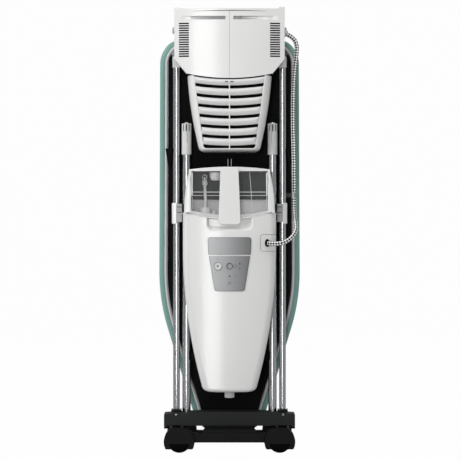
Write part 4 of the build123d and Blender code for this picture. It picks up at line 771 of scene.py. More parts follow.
def notch_wall(profile, margin):
    """The wall inside the heel notch: the profile's depths along its three straight sides, at the heights
    and widths of the board's face. Its two ends stop where the profile of the outer edge is."""
    half, foot = NOTCH_HALF + margin, NOTCH_Z - margin
    heights = np.unique(np.round(board_outline(profile[0][0], margin)[:, 1], 4))
    share = np.append(foot, heights[heights > foot])[::-1] - foot
    share /= share[0]
    across = np.linspace(half, -half, NOTCH_COLUMNS)[1:-1]
    rows = []
    for inset, y in profile:
        rise = foot + (board_outline(inset, margin)[0, 1] - foot) * share
        x = np.concatenate([np.full_like(rise, half), across, np.full_like(rise, -half)])
        z = np.concatenate([rise, np.full_like(across, foot), rise[::-1]])
        rows.append(xyz(x, y, z))
    return np.stack(rows)


def flat_uv(grid):
    """Cloth coordinates of a flat grid: its own X and Z, in metres."""
    return grid[..., (0, 2)] * MM


def hooks_narrowed(points):
    """The hooks' points, narrowed about the middle of each hook towards its foot."""
    moved = points.copy()
    middle = HOOK_X * np.sign(points[:, 0])
    rise = np.clip((points[:, 2] - HOOK_FOOT_Z) / HOOK_H, 0, 1)
    moved[:, 0] = middle + (points[:, 0] - middle) * (HOOK_FOOT_SHARE + (1 - HOOK_FOOT_SHARE) * rise)
    return moved


def rest_front(x):
    """The rest's crowned front: a parabola as far as VENT_EDGE, then straight to the side."""
    x = np.abs(np.asarray(x, float))
    at_edge = REST_CROWN * (VENT_EDGE / REST_HALF) ** 2
    beyond = at_edge + (REST_CROWN - at_edge) * (x - VENT_EDGE) / (REST_HALF - VENT_EDGE)
    return RIDGE_Y + np.where(x < VENT_EDGE, REST_CROWN * (x / REST_HALF) ** 2, beyond)


def crowned(points):
    """The rest's points with its front bent from two flats that meet in a ridge to the crowned front."""
    flats = RIDGE_Y + REST_CROWN * np.abs(points[:, 0]) / REST_HALF
    moved = points.copy()
    moved[:, 1] += (rest_front(points[:, 0]) - flats) * np.clip((FADE_Y - points[:, 1]) / FADE_REACH, 0, 1)
    return moved


def rest_line(ends, heights, rise, lift, radius):
    """A thin seam over the rest's front from one point to another, whose middle is raised by rise."""
    t = np.linspace(0, 1, 41)
    x = ends[0] + (ends[1] - ends[0]) * t
    z = heights[0] + (heights[1] - heights[0]) * t + rise * 4 * t * (1 - t)
    return tube(xyz(x, rest_front(x) + lift, z), radius, 8)


def gen_half(z):
    """The generator's half width at a height: straight above, then the arc through three points, drawn in
    over the corner radius at the foot."""
    (x0, z0), (x1, z1), (x2, z2) = GEN_SIDE
    d = 2 * (x0 * (z1 - z2) + x1 * (z2 - z0) + x2 * (z0 - z1))
    a, b, c = x0 * x0 + z0 * z0, x1 * x1 + z1 * z1, x2 * x2 + z2 * z2
    cx = (a * (z1 - z2) + b * (z2 - z0) + c * (z0 - z1)) / d
    cz = (a * (x2 - x1) + b * (x0 - x2) + c * (x1 - x0)) / d
    radius = math.hypot(x0 - cx, z0 - cz)
    z = np.asarray(z, float)
    arc = cx + np.sqrt(radius ** 2 - (np.minimum(z, z0) - cz) ** 2)
    low = np.clip((GEN_LOW + GEN_CORNER - z) / GEN_CORNER, 0, 1)
    return np.where(z > z0, x0, arc) - GEN_CORNER * (1 - np.sqrt(1 - low ** 2))


def gen_front(x):
    """The crowned front of the generator: GEN_FRONT + x squared / 2R."""
    return GEN_FRONT + np.asarray(x, float) ** 2 / (2 * table().sizes.crown / MM)


def top_smile(x):
    """The generator's curved top edge, lowest at the middle."""
    radius = (GEN_HALF ** 2 + GEN_SMILE ** 2) / (2 * GEN_SMILE)
    return GEN_TOP - GEN_SMILE + radius - np.sqrt(radius ** 2 - np.asarray(x, float) ** 2)


def eased(t):
    """A smooth step from 0 to 1: 3 t squared - 2 t cubed."""
    return t * t * (3 - 2 * t)


def level(y):
    """A flat front at one depth, for a plate."""
    return lambda x: 0 * x + y


def plate(outline, front, thickness, edge, rings=8):
    """A thin plate over a curved front: rings of its outline shrunk towards the middle follow front(x), a
    quarter circle rounds the edge, and the back is the same, a thickness further in."""
    outline = np.concatenate([outline, outline[:1]])
    middle = outline[:-1].mean(0)
    reach = np.linalg.norm(outline - middle, axis=1).mean()
    a = np.linspace(0, np.pi / 2, 4)
    shares = [(t, 0.0) for t in np.linspace(0, 1 - edge / reach, rings)]
    shares += [(1 - edge * (1 - s) / reach, edge * (1 - c)) for s, c in zip(np.sin(a)[1:], np.cos(a)[1:])]
    shares += [(t, thickness) for t in np.linspace(1, 0, rings)]
    t, depth = np.array(shares).T
    flat = middle + t[:, None, None] * (outline - middle)
    return xyz(flat[..., 0], front(flat[..., 0]) + depth[:, None], flat[..., 1])


# What a user would change

class TableSizes(bpy.types.PropertyGroup):
    """Sizes of the dressed table."""
    edge_round: FloatProperty(name="Edge rounding", description="Width of the rounding on moulded edges",
                              default=0.001, min=0.0002, max=0.004, subtype="DISTANCE", unit="LENGTH")
    cover_round: FloatProperty(name="Cover edge radius",
                               description="Radius where the cover turns over the pad",
                               default=0.007, min=0.002, max=0.008, subtype="DISTANCE", unit="LENGTH")
    thread_pitch: FloatProperty(name="Thread pitch", description="Drawn spacing of the cover's threads",
                                default=0.0025, min=0.0005, max=0.006, subtype="DISTANCE", unit="LENGTH")
    hose_diameter: FloatProperty(name="Hose diameter",
                                 description="Outside diameter of the braided steam hose",
                                 default=0.013, min=0.008, max=0.02, subtype="DISTANCE", unit="LENGTH")
    crown: FloatProperty(name="Crown radius",
                         description="Radius of the generator's and the rest's curved fronts",
                         default=1.1, min=0.5, max=4.0, subtype="DISTANCE", unit="LENGTH")
    slat_bulge: FloatProperty(name="Slat bulge", description="How far the fan grille's slats swell out",
                              default=0.006, min=0.0, max=0.008, subtype="DISTANCE", unit="LENGTH")
    slats: IntProperty(name="Slats", description="Number of slats between the grille's slots", default=7,
                       min=3, max=7)


class TableColours(bpy.types.PropertyGroup):
    """Colours of the table's main finishes."""
    cover: FloatVectorProperty(name="Cover",
                               description="Woven cover", subtype="COLOR", size=3, min=0, max=1,
                               default=linear("#7FA79F"))
    hem: FloatVectorProperty(name="Hem",
                             description="Felted tape of the hem", subtype="COLOR", size=3, min=0,
                             max=1, default=linear("#D3CFD0"))
    shell: FloatVectorProperty(name="White shell",
                               description="Glossy white mouldings", subtype="COLOR", size=3,
                               min=0, max=1, default=linear("#DCDCDB"))
    fittings: FloatVectorProperty(name="Grey fittings",
                                  description="Sleeves and clamps", subtype="COLOR", size=3,
                                  min=0, max=1, default=linear("#CDCECD"))
    foot: FloatVectorProperty(name="Foot bar",
                              description="Dark grey foot bar", subtype="COLOR", size=3, min=0,
                              max=1, default=linear("#242526"))
    base: FloatVectorProperty(name="Base",
                              description="Near-black wheeled base", subtype="COLOR", size=3, min=0,
                              max=1, default=linear("#0A0B0C"))
    panel: FloatVectorProperty(name="Panel", description="Silver film of the control panel", subtype="COLOR",
                               size=3, min=0, max=1, default=linear("#979899"))
    braid_dark: FloatVectorProperty(name="Braid, dark yarn",
                                    description="Dark yarn of the hose", subtype="COLOR",
                                    size=3, min=0, max=1, default=linear("#0D0D0E"))
    braid_light: FloatVectorProperty(name="Braid, pale yarn",
                                     description="Pale yarn of the hose", subtype="COLOR",
                                     size=3, min=0, max=1, default=linear("#EFEFED"))


class TableSettings(bpy.types.PropertyGroup):
    """All settings of the table."""
    sizes: PointerProperty(type=TableSizes, name="Sizes", description="Sizes of the dressed table")
    colours: PointerProperty(type=TableColours, name="Colours", description="Colours of the main finishes")


def table():
    """The scene's settings of the table."""
    return bpy.context.scene.ironing_table


# Pieces

class DressCover(bpy.types.Operator):
    """Makes the woven cover, its felted hem and the pad under it"""
    bl_idname = "ironing_table.cover"
    bl_label = "Cover, hem and pad"

    def execute(self, context):
        radius = table().sizes.cover_round / MM
        a = np.linspace(0, np.pi / 2, 9)
        over = [(radius * (1 - math.sin(t)), IRONING_Y - radius * (1 - math.cos(t))) for t in a]
        under = [(UNDER_RADIUS * (1 - math.cos(t)), UNDER_Y + UNDER_RADIUS * (1 - math.sin(t))) for t in a]
        turned = [(inset, UNDER_Y) for inset in (11, 13.5, TURN_UNDER)]
        band, band_uv = board_band(over + under + turned, COVER_GATHERS)
        band[..., 1] = np.clip(band[..., 1], UNDER_Y - 0.6, IRONING_Y)
        band[0, :, 1] = IRONING_Y
        wall = notch_wall(over + under, 0)
        faces = board_face(radius, IRONING_Y, 0)
        cover = put("woven_cover", [band, wall] + faces, "woven_cotton_cover", "board",
                    ("board_cover",), [band_uv, wall[..., (0, 1)] * MM] + [flat_uv(face) for face in faces],
                    "cloth", 50, 0.05)
        thicken(cover, "cloth_thickness", COVER_T)
        turn = np.linspace(0, 2 * np.pi, 13)
        ring = [(HEM_INSET + HEM_HALF_WIDTH * math.cos(t), HEM_Y + HEM_HALF_HEIGHT * math.sin(t))
                for t in turn]
        tape, _ = board_band(ring)
        tape[..., 1] += waves(distance_along(tape[0]), HEM_GATHERS)
        tape[-1] = tape[0]
        caps = [np.stack([tape[:, k], np.repeat(tape[:-1, k].mean(0)[None], len(tape), 0)]) for k in (0, -1)]
        hem = put("cover_tape", [tape] + caps, "felted_tape", "board", ("cover_hem",))
        soft = [(PAD_INSET + PAD_ROUND * (1 - math.sin(t)), PAD_HIGH_Y - PAD_ROUND * (1 - math.cos(t)))
                for t in a[::2]]
        closed = soft + [(inset, PAD_LOW_Y + PAD_HIGH_Y - y) for inset, y in soft[::-1]]
        pad_grids = [board_band(closed, margin=PAD_MARGIN)[0], notch_wall(closed, PAD_MARGIN)]
        for inset, y in (closed[0], closed[-1]):
            pad_grids += board_face(inset, y, PAD_MARGIN)
        pad = put("felt_pad", pad_grids, "needle_felt", "board", ("board_pad",), merge=0.05)
        return {"FINISHED"}


class DressBoard(bpy.types.Operator):
    """Finishes the tray and the fittings under the board"""
    bl_idname = "ironing_table.board"
    bl_label = "Board and its fittings"

    def execute(self, context):
        rounded_copy("vacuum_tray", "powder_coated_steel", 1.5, "suction_tray")
        rounded_copy("board_hooks", "moulded_pp_black", 1.2, "leg_hooks", bend=hooks_narrowed)
        rounded_copy("rod_racks", "moulded_pp_black", 0.8, "rod_channels")
        rounded_copy("hinge_brackets", "powder_coated_steel", 0.8, "hinge_cheeks")
        ribs = [plate(rounded_outline(rectangle(x - 1, x + 1, LATCH_LOW, LATCH_TOP), 0.8, 4, 3),
                      level(TRAY_Y - 2.5), 2.6, 0.5) for x in LATCH_XS]
        put("tray_latch_ribs", ribs, "moulded_pp_grey", "board")
        return {"FINISHED"}


class DressRest(bpy.types.Operator):
    """Finishes the iron rest with its seams, and the hood over the iron"""
    bl_idname = "ironing_table.rest"
    bl_label = "Iron rest and hood"

    def execute(self, context):
        cuts = np.linspace(-VENT_EDGE, VENT_EDGE, 25)
        rounded_copy("rest_housing", "moulded_abs_white", 0.5, "iron_rest", cuts, crowned)
        rounded_copy("iron_hood", "moulded_abs_white", 1.0, "rest_hood")
        rounded_copy("rest_mat", "moulded_rubber", 0.6, "heat_mat")
        rounded_copy("rest_gland", "moulded_pp_grey", 0.6, "hose_gland")
        put("hood_knobs", [lathe([(r, s * a) for r, a in HOOD_KNOB], HOOD_PIVOT, "x", 40) for s in (-1, 1)],
            "moulded_nylon_grey", "hood")
        # A grey line down the middle of the rest: painted shade in the groove of its seam.
        put("rest_seam", [rest_line((0, 0), (REST_FOOT, REST_TOP), 0, 0.35, 0.55)], "seam_grey", "board")
        # The shadow under the rest's top edge, thick in the middle and thin at its ends.
        shadow = rest_line((-134, 134), (1296.5, 1296.5), 2.8, 0.3, np.sin(np.linspace(0, np.pi, 41)) + 0.1)
        put("rest_top_shadow", [shadow], "printed_ink", "board")
        # A black tube between the rest and the grille, along the rest's curved foot: painted shade in the gap
        # between the two mouldings.
        x = np.linspace(-126, 126, 61)
        foot_shade_tube = tube(xyz(x, rest_front(x) + 1.2, 1098.6 + 14 * (x / 127) ** 2), 1.7, 10)
        put("rest_foot_shade", [foot_shade_tube], "moulded_rubber", "board")
        # Each grip is a pocket whose floor slopes from GRIP_DEPTH beside the middle to nothing. Each vent's
        # slot is covered by a thin black plate: painted shade for the dark inside the slot.
        pockets, vent_shade_plates = [], []
        for s in (-1, 1):
            along, up = np.linspace(*GRIP_X, 34)[None], np.linspace(*GRIP_Z, 5)[:, None]
            floor_y = rest_front(along) + GRIP_DEPTH * (1 - (along - 12) / 128)
            floor, back = (xyz(s * along, floor_y + lift, up) for lift in (0.0, 1.2))
            pocket = np.concatenate([floor, back[::-1], floor[:1]])
            pockets += [pocket] + ends_of(pocket)
            x0, x1 = sorted(s * x for x in VENT_X)
            for top in VENT_TOP - VENT_PITCH * np.arange(VENTS):
                slit = rounded_outline(rectangle(x0, x1, top - VENT_H, top), 1.2, 4, 3)
                vent_shade_plates.append(plate(slit, lambda at: rest_front(at) - 0.1, 0.8, 0.1))
        put("grip_pockets", pockets, "moulded_abs_white", "board")
        put("vent_slot_shade", vent_shade_plates, "moulded_rubber", "board")
        return {"FINISHED"}


class DressGrille(bpy.types.Operator):
    """Makes the fan grille's convex slats, its middle rib and a black plate behind them, painted shade that
    darkens the slots
    """
    bl_idname = "ironing_table.grille"
    bl_label = "Fan grille"

    def flanks(self):
        """The frame: from the grille's flat face a quarter ellipse turns outwards, GRILLE_FLANK deep, to
        the wider base. Behind its widest place it draws in, clear of the rods beside it. Its straight top
        stays open."""
        arc, side = 12, 60
        inner, face, base = (
            rounded_outline(tapered(top_half, GRILLE_TOP, low_half, low), [2, 2, radius, radius], arc, side)
            for top_half, low_half, low, radius in (GRILLE_INNER, GRILLE_FACE, GRILLE_BASE))
        down = np.clip((GRILLE_TOP - base[:, 1]) / (GRILLE_TOP - GRILLE_BASE[2]), 0, 1)
        base[:, 0] *= 1 + GRILLE_BULGE * np.sin(np.pi * down)
        keep = np.roll(np.arange(len(face)), -(arc + side + arc // 2))[:-(side + arc)]
        rows = [(inner, GRILLE_Y + 5), (inner, GRILLE_Y), (face, GRILLE_Y - 0.8)]
        rows += [(face + (base - face) * math.sin(a), GRILLE_Y + GRILLE_FLANK * (1 - math.cos(a)))
                 for a in np.linspace(0.12, np.pi / 2, 12)]
        rows += [(base * (share, 1), y)
                 for share, y in ((0.99, GRILLE_Y + 52), (0.95, GRILLE_Y + 60), (0.945, TRAY_Y - 0.1))]
        return np.stack([xyz(line[keep, 0], y, line[keep, 1]) for line, y in rows])

    def slat(self, low, high, bulge):
        """A slat between two heights. Its section is a shingle's: two parabolas, fullest three tenths of
        the way down. Its swell fades at both ends with a square root."""
        share = (FACE_TOP - (high + low) / 2) / (FACE_TOP - FACE_LOW)
        half = FACE_HALF[0] + share * (FACE_HALF[1] - FACE_HALF[0]) + 0.5
        across, up = np.linspace(-1, 1, 49), np.linspace(0, 1, 15)[:, None]
        x = across * half
        swell = bulge * np.clip((1 - np.abs(across)) * half / SLAT_ROUND, 0, 1) ** 0.5
        shape = np.where(up < 0.7, 1 - (1 - up / 0.7) ** 2, 1 - ((up - 0.7) / 0.3) ** 2)
        z = low + 0.5 + (high - low - 1) * up + x ** 2 / (2 * SLOT_CURVE)
        face = xyz(x, GRILLE_Y + 2.5 - shape * (swell + 1), z)
        back = face * (1, 0, 1) + (0, GRILLE_Y + 4.0, 0)
        sheet = np.concatenate([face, back[::-1], face[:1]])
        return [sheet] + ends_of(sheet)

    def execute(self, context):
        frame_piece = put("grille_frame", [self.flanks()], "moulded_abs_white", "board",
                          ("fan_housing",), sharp=50)
        thicken(frame_piece, "wall_thickness", 2)
        sizes = table().sizes
        bulge = sizes.slat_bulge / MM
        grids = []
        for i in range(sizes.slats):
            # The topmost slat has no slot above it, so it reaches 20 mm over the first slot.
            high = SLOT_TOP - (i - 1) * SLOT_PITCH - SLOT_H / 2 if i else SLOT_TOP + SLOT_H / 2 + 20
            grids += self.slat(SLOT_TOP - i * SLOT_PITCH + SLOT_H / 2, high, bulge)
        rib = rounded_outline(rectangle(-1.5, 1.5, 888, 1085), 0.5, 3, 12)
        grids.append(plate(rib, level(GRILLE_Y - 1.0), 3.5, 0.5))
        put("grille_slats", grids, "moulded_abs_white", "board", sharp=55)
        # Two small dark plates on the top slat: painted shade in two small slits.
        marks = [plate(rounded_outline(rectangle(x - 5, x + 5, 1088, 1090.6), 1, 4, 3),
                       level(GRILLE_Y + 0.6 - bulge), 2.5, 0.3) for x in (-8.5, 7.2)]
        put("grille_slit_shade", marks, "printed_ink", "board")
        # A black plate behind the slats: painted shade for the dark inside the housing, seen through the
        # slots.
        slot_shade_outline = rounded_outline(tapered(105, 1096, 76, 891), [4, 4, 12, 12])
        put("grille_slot_shade", [plate(slot_shade_outline, level(GRILLE_Y + 4.5), 2.5, 0.5)], "moulded_rubber", "board")
        return {"FINISHED"}


class DressLegs(bpy.types.Operator):
    """Makes the chromed tubes and rods, and finishes their sleeves, blocks and pivots"""
    bl_idname = "ironing_table.legs"
    bl_label = "Legs and pivots"

    def execute(self, context):
        for side, s in (("left", -1), ("right", 1)):
            put("outer_tube_" + side, [lathe(pipe_profile(*OUTER_TUBE), (s * OUTER_X, LEG_Y, 0), "z", 40)],
                "chromed_steel_tube", "leg_frame", ("outer_leg_" + side,))
            put("inner_tube_" + side, [lathe(pipe_profile(*INNER_TUBE), (s * INNER_X, LEG_Y, 0), "z", 40)],
                "chromed_steel_tube", "inner_frame", ("inner_leg_" + side,))
            put("slide_rod_" + side, [lathe(SLIDE_ROD, (s * INNER_X, LEG_Y, 0), "z", 32)],
                "chromed_steel_tube", "rod_" + side, ("leg_rod_" + side,))
        rounded_copy("leg_sleeves", "moulded_pp_grey", 0.8, "rod_sleeves")
        rounded_copy("leg_blocks", "moulded_pp_grey", 1.2, "hinge_blocks")
        rounded_copy("pivot_covers", "moulded_abs_white", 1.2, "clamp_covers")
        # Thin dark lines on each sleeve: painted shade in its slots.
        slots = []
        for s in (-1, 1):
            for a in (-0.6, 0, 0.6):
                x, y = s * INNER_X + SLEEVE_FACE * math.sin(a), LEG_Y - SLEEVE_FACE * math.cos(a)
                slots.append(tube([(x, y, z) for z in SLEEVE_SLOT_Z], 1.5, 8))
        put("sleeve_slot_shade", slots, "printed_ink", "inner_frame")
        rounded_copy("pivot_blocks", "moulded_nylon_grey", 0.35, "clamp_blocks")
        # Dark lines across each clamp block: painted shade between its ribs.
        seams = [tube([(s * x, LEG_Y - SEAM_DEPTH, z) for x in (143, 156)], 1.2, 8)
                 for s in (-1, 1) for z in (721, 705)]
        put("clamp_rib_shade", seams, "printed_ink", "leg_frame")
        rounded_copy("hose_clip", "clear_styrene", 0.5, "hose_clamp")
        return {"FINISHED"}


class DressBase(bpy.types.Operator):
    """Finishes the wheeled base and the foot bar, and makes the wheels"""
    bl_idname = "ironing_table.base"
    bl_label = "Base, foot bar and wheels"

    def execute(self, context):
        rounded_copy("base_front", "moulded_pp_black", 2.0, "front_wheel_arch")
        rounded_copy("base_rear", "moulded_pp_black", 2.0, "rear_wheel_arch")
        for side in ("left", "right"):
            rounded_copy("side_rail_" + side, "moulded_pp_black", 2.0, "rail_" + side)
        rounded_copy("foot_bar", "moulded_pp_dark", 2.5, "foot_beam")
        rounded_copy("foot_clips", "moulded_pp_black", 0.8, "leg_clips")
        rounded_copy("foot_pads", "moulded_rubber", 0.6, "rubber_feet")
        x = np.linspace(-76, 76, 21)
        ridge = np.stack([xyz(x, y, z) for y, z in BAR_RIDGE])
        put("front_bar_ridge", [ridge] + ends_of(ridge), "moulded_pp_black", "leg_frame")
        # Black plates in the wheels' openings in the front of the covers: painted shade where the wheels sit
        # back in the dark.
        a = np.linspace(-0.94 * np.pi, -0.06 * np.pi, 60)
        arc = np.stack([OPENING_R * np.cos(a), WHEEL_R + OPENING_R * np.sin(a)], -1)
        arc = arc[arc[:, 1] > OPENING_FOOT]
        opening_shade_plates = [plate(arc + (s * WHEEL_X, 0), level(OPENING_Y), 0.6, 0.1) for s in (-1, 1)]
        put("wheel_opening_shade", opening_shade_plates, "moulded_rubber", "leg_frame")
        # A black plate under the foot bar, in front of the board's tip: painted shade in the gap there.
        gap_shade_outline = rounded_outline(tapered(77, 70, 72, 56), 1, 3, 20)
        put("foot_gap_shade", [plate(gap_shade_outline, level(-57.0), 3.0, 0.6)], "moulded_pp_black", "inner_frame")
        screws = [lathe(FOOT_SCREW, (s * OUTER_X, 0, FOOT_SCREW_Z), "y", 24) for s in (-1, 1)]
        put("foot_screws", screws, "zinc_plated_steel", "inner_frame")
        w = WHEEL_W / 2
        tyre = [(HUB_R, -w + 1), (HUB_R + 2, -w), (WHEEL_R - 4, -w), (WHEEL_R - 1.2, -w + 1.2),
                (WHEEL_R, -w + 4)]
        for k in np.linspace(-6, 6, 5):
            tyre += [(WHEEL_R, k - 0.9), (WHEEL_R - 0.9, k - 0.5), (WHEEL_R - 0.9, k + 0.5),
                     (WHEEL_R, k + 0.9)]
        tyre += [(r, -y) for r, y in tyre[4::-1]] + [tyre[0]]
        hub = [(4.05, -w + 2), (9, -w + 0.5), (10, -w + 3), (18, -w + 4.5), (20, -w + 1), (HUB_R, -w + 0.6)]
        hub += [(r, -y) for r, y in hub[::-1]] + [hub[0]]
        for end, sy in (("front", -1), ("rear", 1)):
            for side, sx in (("left", -1), ("right", 1)):
                centre = (sx * WHEEL_X, sy * WHEEL_Y, WHEEL_R)
                body = f"wheel_{end[0]}{side[0]}"
                put(f"tyre_{end}_{side}", [lathe(tyre, centre, "y", 72)], "moulded_rubber", body,
                    (f"wheel_{end}_{side}",))
                put(f"hub_{end}_{side}", [lathe(hub, centre, "y", 60)], "moulded_pp_dark", body)
        return {"FINISHED"}


class DressGenerator(bpy.types.Operator):
    """Makes the generator's crowned shell with its finger scoop, outlet outline and drain cap"""
    bl_idname = "ironing_table.generator"
    bl_label = "Steam generator"

    def execute(self, context):
        # Rows go up and columns round the front, from one side's rear edge to the other's.
        r = GEN_EDGE
        z = np.unique(np.concatenate([GEN_LOW + r * (1 - np.cos(np.linspace(0, np.pi / 2, 14))),
                                      np.linspace(GEN_LOW + r, 630, 60), np.linspace(630, GEN_TOP - 2.5, 52)]))
        half = gen_half(z)[:, None]
        turn = np.linspace(0, np.pi / 2, 10)[None]
        across = np.linspace(-1, 1, 121)[1:-1][None]
        back = np.linspace(0, 1, SIDE_COLUMNS + 1)[None]
        front_x = (half - r) * across
        edge_x = half - r + r * np.sin(turn)
        edge_y = r * (1 - np.cos(turn))
        shoulder = gen_front(half - r) + r
        side_y = shoulder + (GEN_BACK - shoulder) * back
        side_x = np.repeat(half, SIDE_COLUMNS, 1)
        x = np.concatenate([-side_x, -edge_x[:, ::-1], front_x, edge_x, side_x], 1)
        y = np.concatenate([side_y[:, :0:-1], (gen_front(half - r) + edge_y)[:, ::-1], gen_front(front_x),
                            gen_front(half - r) + edge_y, side_y[:, 1:]], 1)
        # The front's foot is rounded, its top edge is a smile, and its lower edge drops in the middle.
        low = np.clip((GEN_LOW + GEN_FOOT_EDGE - z) / GEN_FOOT_EDGE, 0, 1)[:, None]
        inward = GEN_FOOT_EDGE * (1 - np.sqrt(1 - low ** 2))
        depth = np.clip((GEN_BACK - y) / (GEN_BACK - GEN_FRONT), 0, 1)
        y = y + inward * depth
        zz = np.repeat(z[:, None], x.shape[1], 1)
        lift = np.clip((zz - SMILE_FROM) / (GEN_TOP - SMILE_FROM), 0, 1)
        zz = zz + (top_smile(np.clip(x, -GEN_HALF, GEN_HALF)) - GEN_TOP) * lift
        drop = GEN_DROP * (1 - np.clip(np.abs(x) / GEN_LOW_HALF, 0, 1) ** 4)
        zz = zz - drop * np.clip((GEN_LOW + DROP_REACH - zz) / DROP_REACH, 0, 1)
        # The finger scoop under the tank: eased in from both sides and from below.
        scoop = eased(np.clip((SCOOP_HALF + 2 - np.abs(x)) / 7, 0, 1))
        corner = np.clip((np.abs(x) - SCOOP_HALF + 16) / 16, 0, 1) ** 2 * 10
        scoop = scoop * eased(np.clip((zz - SCOOP_LOW - corner + 2) / 16, 0, 1))
        y = y + SCOOP_DEPTH * scoop * (y < GEN_FRONT + 14)
        grid = np.stack([x, y, zz], -1)
        rim = []
        for k, inset in ((1, 0.7), (2, 2.4)):
            row = grid[-1].copy()
            row[:, 2] += 2.5 * math.sin(k * math.pi / 4)
            row[:, 1] += inset * (GEN_BACK - row[:, 1]) / (GEN_BACK - GEN_FRONT)
            rim.append(row)
        wall = np.concatenate([grid, np.stack(rim)])
        t = np.concatenate([[0], back[0, 1:]])[:, None, None]
        inner = slice(SIDE_COLUMNS, -SIDE_COLUMNS)
        caps = []
        for edge in (wall[-1], wall[0]):
            target = edge[inner].copy()
            target[:, 1] = GEN_BACK
            caps.append(edge[inner][None] * (1 - t) + target[None] * t)
        shell = put("generator_housing", [wall] + caps, "moulded_abs_white", "inner_frame",
                    ("generator_shell",), sharp=50, merge=0.02)
        thicken(shell, "wall_thickness", GEN_WALL)
        # The outline of the outlet's panel, open at the shell's side and laid over the curved front: a grey
        # line, painted shade in the engraved groove.
        outline = rounded_outline(rectangle(*OUTLET_FRAME), [9, 1, 1, 9], 10, 20)
        keep = outline[outline[:, 0] < GEN_HALF - 1]
        cut = int(np.argmax(np.linalg.norm(np.diff(keep, axis=0), axis=1))) + 1
        run = np.roll(keep, -cut, axis=0)
        bend = np.clip((np.abs(run[:, 0]) - (gen_half(run[:, 1]) - r)) / r, 0, 0.999)
        y_run = gen_front(np.minimum(run[:, 0], gen_half(run[:, 1]) - r)) + r * (1 - np.sqrt(1 - bend ** 2))
        put("outlet_outline", [tube(xyz(run[:, 0], y_run + 0.15, run[:, 1]), 0.75, 8)], "seam_grey",
            "inner_frame")
        # The outlet's oval rubber grommet: a turned profile, narrowed to 0.62 across.
        grommet = lathe(GROMMET, (0, 0, 0), "y", 40)
        narrow = 0.62 + 0.3 * np.clip((-130 - grommet[..., 1]) / 8, 0, 1)
        shift = OUTLET_X + 3 * np.clip((-128 - grommet[..., 1]) / 12, 0, 1)
        grommet[..., 0] = grommet[..., 0] * narrow + shift
        grommet[..., 2] += OUTLET_Z
        put("outlet_grommet", [grommet], "moulded_rubber", "inner_frame", ("hose_outlet",))
        rounded_copy("drain_cap", "moulded_pp_grey", 1.0, "drain_knob")
        rounded_copy("generator_back", "moulded_abs_white", 0.6, "generator_rear")
        rounded_copy("cradle_bars", "powder_coated_steel", 0.8, "generator_cradle")
        return {"FINISHED"}


class DressTank(bpy.types.Operator):
    """Finishes the clear water tank, its white frame, its floor and its suction filter"""
    bl_idname = "ironing_table.tank"
    bl_label = "Water tank"

    def execute(self, context):
        rounded_copy("tank_frame", "moulded_abs_white", 1.0, "tank_handle_frame")
        rounded_copy("tank_shell", "clear_styrene", 0.8, "tank_window")
        x = np.linspace(-TANK_FLOOR_HALF, TANK_FLOOR_HALF, 61)
        floor = top_smile(x) + TANK_FLOOR_LIFT
        ring = []
        for y, z in ((-50, floor), (-58, floor), (-124, floor), (-124, floor + 9), (-62, floor + 12),
                     (-60, SILL_Z - 2), (-58, SILL_Z), (-50, SILL_Z), (-50, floor)):
            high = np.minimum(z, SILL_Z)
            ring.append(xyz(x * (1 - 0.05 * (high - 690) / 52), y, np.maximum(high, floor)))
        ledge = np.stack(ring)
        put("tank_floor", [ledge] + ends_of(ledge), "moulded_pp_grey", "water_tank")
        rails = []
        for z, half, y, radius in ((763, 117, -125.5, 1.0), (753, 118, -125.5, 0.7), (741, 112, -63, 0.9)):
            rails.append(tube(xyz(np.linspace(-half, half, 5), y, z), radius, 8))
        rails.append(tube([(59, -125, 822), (63, -125, 770), (67, -125, 700)], 0.7, 8))
        for s in (-1, 1):
            rails.append(tube([(s * 109.5, -126, z) for z in (820, 790, 754)], 2.4, 12))
            rails.append(tube([(s * 110, -124, 752), (s * 108, -118, 726), (s * 112, -122, 705)], 1.0, 8))
        cheeks = []
        for s in (-1, 1):
            z = np.linspace(*CHEEK_Z, 31)
            t = (CHEEK_Z[1] - z) / (CHEEK_Z[1] - CHEEK_Z[0])
            outer = 119 + 14 * t + 3.5 * np.sin(np.pi * t)
            inner = 112.5 + 3 * np.clip((z - 780) / 43, 0, 1)
            rows = [xyz(s * x, y, z) for x, y in
                    ((inner, -124), (inner, -128.4), (inner + 1, -129.4), ((inner + outer) / 2, -129.8),
                     (outer - 2, -129), (outer - 0.4, -127), (outer, -122))]
            cheek = np.stack(rows + rows[:1])
            cheeks += [cheek] + ends_of(cheek)
        x = np.linspace(-129, 129, 65)
        lip = tube(xyz(x, gen_front(x) + 2.0, top_smile(x) + 0.9), 2.0, 12)
        put("tank_lip", [lip], "moulded_abs_white", "water_tank")
        put("tank_cheeks", cheeks, "moulded_abs_white", "water_tank")
        put("tank_ribs", rails, "moulded_abs_white", "water_tank")
        low = float(top_smile(16 - FILTER_X)) + TANK_FLOOR_LIFT
        pipe = [(FILTER_X, FILTER_Y, low + 22), (FILTER_X + 2, FILTER_Y, 740), (FILTER_X + 0.6, FILTER_Y, 770),
                (FILTER_X, FILTER_Y, 783)]
        turn = np.linspace(0, 2 * np.pi, 33)
        loop = xyz(FILTER_X + 6.5 * np.sin(turn), FILTER_Y, 806 - 9 * np.cos(turn))
        grids = [lathe(FILTER_BODY, (FILTER_X, FILTER_Y, low), "z", 40),
                 lathe(FILTER_VALVE, (FILTER_X, FILTER_Y, 0), "z", 24),
                 tube(pipe, 4.6, 20), tube(loop, 1.0, 10),
                 lathe(FLOOR_KNOB, (-47, FILTER_Y, low - 4), "z", 24)]
        put("suction_unit", grids, "moulded_abs_white", "water_tank", ("suction_filter",))
        put("filler_cup", [lathe(FILLER_CUP, FILLER_AT, "z", 40)], "moulded_abs_white", "water_tank")
        return {"FINISHED"}


